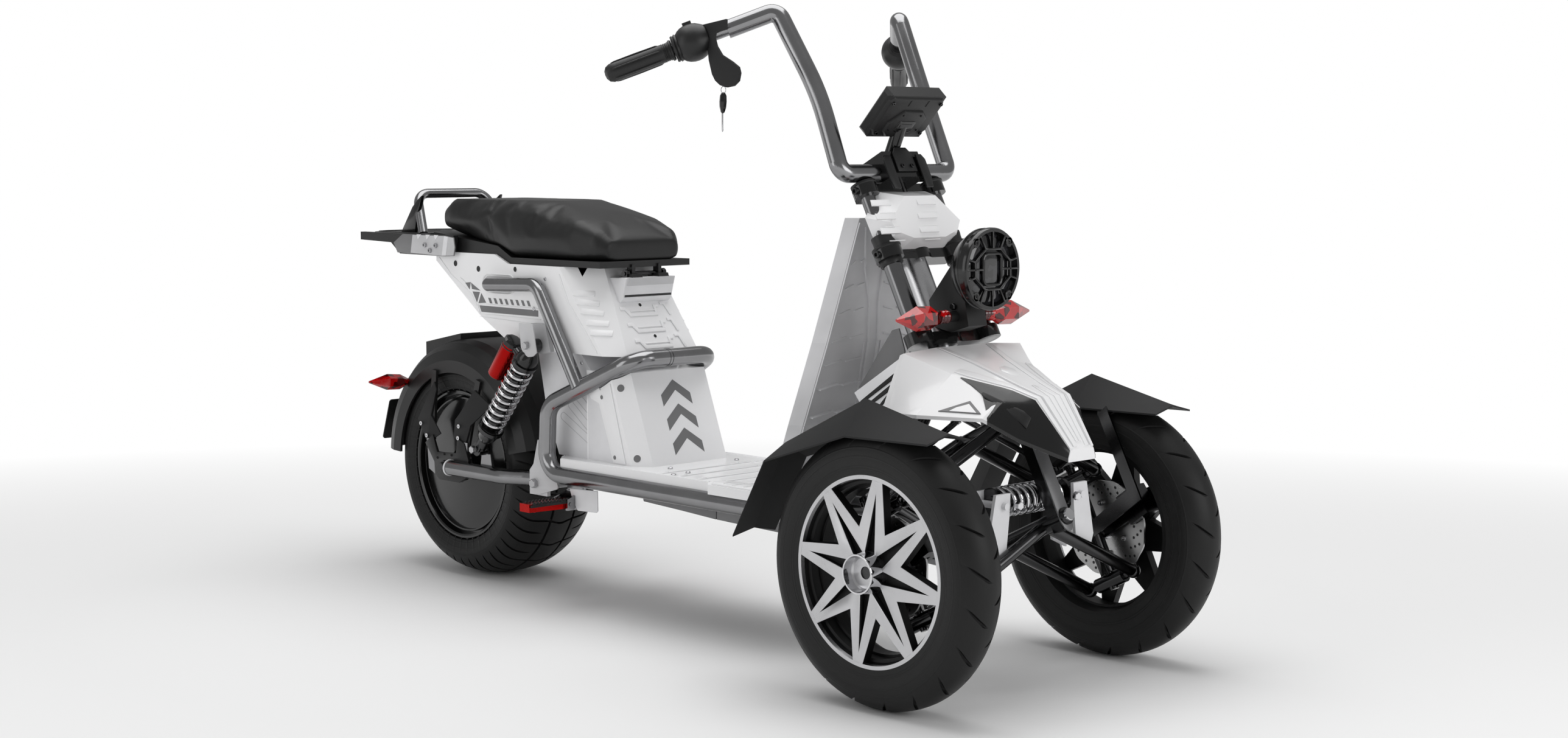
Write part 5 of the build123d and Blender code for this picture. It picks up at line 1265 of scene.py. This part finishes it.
throttle_plate = [
    (480, 1110.7), (411.8, 1119), (411.9, 1101), (431, 1098.5), (438.3, 1098.6), (441.4, 1088.4), (436, 1074),
    (423.1, 1058.8), (398, 1047), (381, 1037), (377.4, 1026.6), (381, 1013), (393, 1005), (411, 1002.8),
    (428, 1007), (440, 1015), (447.9, 1026), (456, 1050), (460.1, 1078.7), (472, 1091), (480, 1096.9),
]
prism("throttle_plate", [(d - AXLE_AHEAD, z) for d, z in throttle_plate], ACROSS * -0.254, BACK, UP, 5, HEAD,
      "black_matt", 0.9)
key_top = at(-251.5, 421, 1003)
key_ring = [key_top - UP * 0.004 + Vector((0, *polar(0.006, math.pi * k / 8))) for k in range(16)]
rod("key_ring", key_ring, 0.7, HEAD, "key_metal", True)
key_body = [(0, 1.5), (2, 4), (6, 6), (16, 6.6), (26, 6), (34, 3.6), (36, 1.4)]
lathe("key_bow", key_body, key_top - UP * 0.008, (0, 0.06, -1), HEAD, "black_gloss", 6)
prism("key_blade", [(-1.8, 0), (1.8, 0), (1.8, -30), (0.6, -33), (-1.8, -30)],
      key_top + Vector((-0.0005, 0.0022, -0.043)), BACK, UP, 1, HEAD, "key_metal", 0.2)

# ------------------------------------------------------------ leg shield
# Sections from the deck up: (height, half width, distance of the front).
LEG_SECTIONS = [(294, 150, 388), (418, 160, 332), (562, 128, 306), (778, 52, 300)]


def leg_front(height):
    """Half width and distance of the leg shield's front at a height."""
    for (low, half_low, near), (high, half_high, far) in zip(LEG_SECTIONS, LEG_SECTIONS[1:]):
        if height <= high:
            t = (height - low) / (high - low)
            return half_low + (half_high - half_low) * t, near + (far - near) * t


def leg_rib(places, width, rise):
    """Raised ribs on the leg shield's front along (x, height) places."""
    made = []
    for (x0, z0), (x1, z1) in zip(places, places[1:]):
        run = Vector((x1 - x0, z1 - z0)).normalized()
        a, b = -run.y * width / 2, run.x * width / 2
        corners = [at(x, leg_front(z)[1], z) for x, z in
                   ((x0 + a, z0 + b), (x1 + a, z1 + b), (x1 - a, z1 - b), (x0 - a, z0 - b))]
        made.append(panel("rib", corners, AHEAD, rise, 1.5, FRAME, "light_plastic", 0.5))
    return made


SPINE = ((14, 330), (12, 417), (12, 561), (12, 632), (24, 692), (24, 762))
for side, word in SIDES:
    ribs = leg_rib([(side * (leg_front(z)[0] - 15), z) for z in (300, 417, 561, 770)], 3, 3)
    ribs += leg_rib([(side * x, z) for x, z in SPINE], 4, 3.5)
    ribs += leg_rib([(side * x, z) for x, z in ((20, 330), (21, 417), (21, 560))], 2, 2.5)
    for height in (345, 392, 442, 491, 532, 573, 620, 664, 706):
        half = leg_front(height)[0]
        middle = 24 + (half - 46) * 0.5
        rise = 9 if height < 530 else 3.5
        ribs += leg_rib([(side * 26, height), (side * (middle - 5), height - 5)], 2.6, rise)
        ribs += leg_rib([(side * (middle + 5), height - 2), (side * (half - 20), height - 10)], 2.6, rise)
    joined(f"leg_shield_ribs_{word}", ribs, FRAME)
    # Dark gusset from the fork's foot down to the backbone.
    gusset = [at(side * 80, d, z) for d, z in
              ((168, 594), (184, 590), (262, 486), (232, 466), (166, 520), (154, 555))]
    panel(f"gusset_{word}", gusset, ACROSS * side, 0, 3, FRAME, "decal_and_shade_grey", 0.6)

# ------------------------------------------------------------ tilt bar and spring bolts
BAR_FOOT = at(0, -120, 290)
bar_face = [(15, 158), (15, -8), (11, -19), (4, -25), (-4, -25), (-11, -19), (-15, -8), (-15, 158)]
prism("tilt_bar_face", bar_face, BAR_FOOT - AXIS_REAR * 0.0112, ACROSS, AXIS_UP, 3, FRAME, "tilt_grey", 0.8)
lathe("tilt_pin", [(0, 11), (7, 11), (8, 10), (8, 0.2)], BAR_FOOT - AXIS_REAR * 0.0175, -AXIS_REAR, FRAME,
      "chrome", 40)
bolts("ear_bolts", [(at(side * 75, -93, 318), AHEAD, 7.5) for side, word in SIDES], FRAME, "chrome", "hex")

# ------------------------------------------------------------ rear wheel
# Half of the motor hub's outline, from its end face out to the tyre's seat.
HUB_HALF = [
    (98, 11), (98, 34), (94, 36), (90, 80), (87, 112), (84, 132), (84, 137), (90, 138.5), (90, 141.5),
    (80, 143), (80, 147.5), (97, 149), (99, 152), (99, 156), (94, 157.5), (94, 159.4),
]
hub_profile = [(-x, radius) for x, radius in HUB_HALF] + HUB_HALF[::-1]
hub = lathe("motor_hub", hub_profile, REAR_AXLE, ACROSS, "rear_wheel", "black_gloss", 96, True)
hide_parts("rear_hub")

# ------------------------------------------------------------ swingarm, stays, shocks
REAR_PLATES = (
    ("axle_plate", 127.6, 2.4, "black_plastic", 0.8,
     [(1338, 222), (1337, 256), (1352, 290), (1376, 300), (1380, 268), (1448, 264), (1462, 300), (1490, 280),
      (1474, 262), (1458, 242), (1456, 216), (1440, 206), (1370, 206)]),
    ("axle_plate_back", 122.6, -1.2, "black_plastic", 0.3,
     [(1344, 222), (1341, 294), (1364, 294), (1377, 264), (1451, 264), (1465, 292), (1488, 292), (1482, 224),
      (1441, 206), (1369, 206)]),
    ("front_stay", 123, 3.4, "black_matt", 0.8,
     [(1319, 404), (1369, 353), (1387, 337), (1392, 300), (1354, 283), (1333, 329), (1262, 375)]),
    ("rear_stay", 123, 3.4, "black_matt", 0.8,
     [(1460, 412), (1521, 328), (1487, 279), (1439, 303), (1473, 339), (1452, 396)]),
    ("pivot_plate", 147.4, 3.4, "grey_plastic", 1,
     [(1077, 326), (1066, 322), (1018, 250), (1013, 236), (1018, 232), (1072, 217), (1086, 215), (1099, 224),
      (1102, 238)]),
    ("shock_plate", 160, 2.6, "grey_plastic", 0.9,
     [(1062, 500), (1074, 556), (1118, 556), (1112, 508), (1104, 496), (1090, 490), (1074, 492)]),
    ("rack_bracket", 133, 2, "decal_and_shade_grey", 0.8,
     [(1588, 702), (1574, 681), (1409, 678), (1370, 680), (1366, 698), (1370, 718), (1400, 721),
      (1554, 721)]),
    ("rack_bracket_light", 134.8, 1.2, "grey_plastic", 0.5,
     [(1524, 682), (1409, 679), (1371, 681), (1367, 698), (1371, 717), (1400, 720), (1516, 720)]),
    ("rack_bracket_end", 135.6, 1.4, "light_plastic", 0.5,
     [(1411, 680), (1402, 720), (1388, 719), (1396, 680)]),
    ("grab_fin", 99, 8, "black_gloss", 1.4,
     [(1601, 722), (1557, 778), (1540, 792), (1522, 803), (1530, 780), (1542, 758), (1549, 722)]),
    ("peg_plate", 146, 2.6, "light_plastic", 0.9,
     [(980, 238), (895, 242), (894, 203), (898, 199), (955, 197), (960, 202), (975, 226)]),
)
# Shock pieces turned round its line from the upper bolt: (name, finish, steps, profile).
SHOCK_TURNED = (
    ("shock_body", "black_gloss", 48,
     [(12, 8), (16, 13), (30, 21), (34, 22.5), (60, 22.5), (62, 19), (62, 14)]),
    ("shock_foot", "black_gloss", 48,
     [(222, 15), (224, 24), (236, 25), (240, 22), (250, 20), (262, 14), (266, 10)]),
)
AXLE_SPOT, ARM_SPOT = (1406, 238.5), (1388, 237)
for side, word in SIDES:
    side_plates(side, word, REAR_PLATES)
    for number, distance in enumerate((1500, 1468, 1438)):
        notch = [(distance, 721.6), (distance - 16, 721.6), (distance - 4, 711)]
        side_plate(f"rack_notch_{number}_{word}", notch, side * 135.8, side * 0.9, "light_plastic", 0.2)
    for name, x, spots, look, head in (
        ("stay_screws", 126.4, [(1504, 320, 4.6), (1484, 296, 4.6), (1369, 325, 4.6), (1372, 300, 4.6)],
         "chrome", "socket"),
        # Dark button shapes on the stays: painted shade in place of open holes.
        ("stay_hole_shades", 129.4, [(1446, 252, 3), (1421, 262, 3), (1396, 262, 3), (1352, 232, 3)], "rim_black_and_hole_shade",
         "button"),
        ("axle_nut", 130, [(*AXLE_SPOT, 13)], "dark_metal", "hex"),
        ("rack_screws", 135.8, [(1469, 700, 5), (1451, 689, 5), (1430, 700, 5)], "steel", "socket"),
    ):
        bolts(f"{name}_{word}", outward(side, x, spots), FRAME, look, head)
    hexes = outward(side, 151, [(1084, 238, 9.5)]) + outward(side, 163.4, [(1090, 513, 8), (1270, 289, 8)])
    bolts(f"rear_hex_{word}", hexes, FRAME, "steel", "hex")
    lathe(f"axle_end_{word}", [(0, 9), (20, 9), (21.5, 7.5), (21.5, 0.2)], at(side * 130, *AXLE_SPOT),
          ACROSS * side, FRAME, "dark_metal", 32)
    lathe(f"arm_end_{word}", [(0, 17.5), (4, 17.5), (5, 16.5), (5, 0.2)], at(side * 138, *ARM_SPOT), BACK,
          FRAME, "light_plastic", 40)
    shock_top, shock_low = at(side * 148, 1088, 512), at(side * 148, 1270, 289)
    run = (shock_low - shock_top).normalized()
    for name, look, steps, profile in SHOCK_TURNED:
        lathe(f"{name}_{word}", profile, shock_top, run, FRAME, look, steps)
    bottle_start = shock_top + Vector((0, -run.z, run.y)) * 0.055
    bottle = [(46, 17), (46, 18.8), (127, 18.8), (131, 17), (131, 0.2)]
    lathe(f"reservoir_{word}", bottle, bottle_start, run, FRAME, "red_metal")
    cap = [(33, 8), (34, 15.5), (37, 19.6), (46, 20), (47, 18)]
    lathe(f"reservoir_cap_{word}", cap, bottle_start, run, FRAME, "black_gloss", 10, angle=20)
    bottle_ring = [(50, 18), (50, 19.4), (52.5, 19.4), (52.5, 18)]
    lathe(f"reservoir_ring_{word}", bottle_ring, bottle_start, run, FRAME, "black_gloss", 48, True)

# ------------------------------------------------------------ rack
rack_half = [(112, 1484), (112, 1660), (98, 1694), (64, 1711)]
rim = [at(-x, d, 722) for x, d in rack_half] + [at(x, d, 722) for x, d in reversed(rack_half)]
rod("rack_rim", rim, 2.2, FRAME, "black_plastic", True)
# Slots in the rack top are thin near-black plates: painted shade in place of open slots.
slots = [on_deck("slot", placed(racetrack(92, 7), (0, 794 + 44 * number)), 721.9, 0.6, "rim_black_and_hole_shade", 0.2)
         for number in range(4)]
joined("rack_slots", slots, FRAME)

# ------------------------------------------------------------ passenger pegs
for side, word in SIDES:
    body = f"footpeg_{word}"
    saw = [(side * 156, 217)]
    for k in range(11):
        x = 160 + k * 8.2
        saw += [(side * x, 217), (side * (x + 1.5), 222.4), (side * (x + 4.5), 222.4), (side * (x + 6), 217)]
    saw += [(side * 254, 217), (side * 254, 212), (side * 156, 212)]
    teeth = [prism("teeth", saw, at(0, edge + 2.1 * side, 0), ACROSS, UP, 4.2, body, "black_plastic", 0.3)
             for edge in (971.6, 996.6)]
    joined(f"peg_teeth_{word}", teeth, body)
    ribs = []
    for x in (166, 186, 214, 240):
        rib = [(side * x, 202), (side * (x + 5), 202), (side * (x + 5), 216), (side * x, 216)]
        ribs.append(prism("rib", rib, at(0, 969.4, 0), ACROSS, UP, 2.4 * side, body, "red_metal", 0.6))
    joined(f"peg_ribs_{word}", ribs, body)

for pattern in heads.values():
    bpy.data.objects.remove(pattern)

# ------------------------------------------------------------ stage
bpy.ops.object.select_all(action="DESELECT")
bpy.ops.mesh.primitive_plane_add(size=80, location=(0, 0, 0))
floor = new_piece("floor")
floor.select_set(False)
# The floor turns into plain white away from the tricycle, from a distance on and by a share a metre.
WHITE_FROM, WHITE_RATE = 0.9, 0.55
ground = Finish("floor_white")
ground.set(Base_Color=(0.92, 0.92, 0.92, 1), Roughness=0.7, Specular_IOR_Level=0.08)
ahead = ground.x * 0.7 + ground.y * 0.72
aside = ground.x * 0.72 - ground.y * 0.7
distance_out = (ahead * ahead + aside * aside * 0.5).math("SQRT")
glow = ground.place.node("ShaderNodeEmission", {"Color": (1, 1, 1, 1), "Strength": 1.0})
share = ((distance_out - WHITE_FROM) * WHITE_RATE).math("ADD", 0.0, clamp=True)
lit = Socket(ground.tree, ground.shader.outputs[0])
faded = glow.node("ShaderNodeMixShader", {0: share, 1: lit, 2: glow})
ground.tree.links.new(faded.out, ground.tree.nodes["Material Output"].inputs["Surface"])
floor.data.materials.append(ground.material)

# The room is white to the camera and dimmer as a light.
ROOM_LIGHT = 0.35
world = bpy.data.worlds.new("studio")
scene.world = world
world.use_nodes = True
sky = world.node_tree.nodes["Background"]
sky.inputs[0].default_value = (1, 1, 1, 1)
path = world.node_tree.nodes.new("ShaderNodeLightPath")
seen = Socket(world.node_tree, path.outputs["Is Camera Ray"])
world.node_tree.links.new((seen * (1 - ROOM_LIGHT) + ROOM_LIGHT).out, sky.inputs[1])


def soft_box(name, place, target, width, height, power):
    """Rectangular area light that faces a point."""
    lamp = bpy.data.lights.new(name, "AREA")
    lamp.shape = "RECTANGLE"
    lamp.size, lamp.size_y = width, height
    lamp.energy = power
    obj = bpy.data.objects.new(name, lamp)
    obj.location = place
    obj.rotation_euler = (Vector(target) - Vector(place)).to_track_quat("-Z", "Y").to_euler()
    scene.collection.objects.link(obj)


soft_box("top_box", (0.2, 0.2, 3.4), (0, 0, 0.3), 3.2, 3.2, 80)
soft_box("right_box", (-3.4, 0.8, 1.6), (0, 0, 0.5), 1.6, 2.4, 17)
soft_box("front_box", (0.6, -3.8, 1.5), (0, -0.2, 0.5), 2.6, 1.4, 32)

camera_data = bpy.data.cameras.new("camera")
camera_data.sensor_width = 36
camera_data.lens = 51.2
camera = bpy.data.objects.new("camera", camera_data)
camera.location = (-2.861, -3.156, 0.888)
camera.rotation_euler = (math.radians(84.515), 0, math.radians(-44.214))
scene.collection.objects.link(camera)
scene.camera = camera
scene.view_settings.view_transform = "Standard"
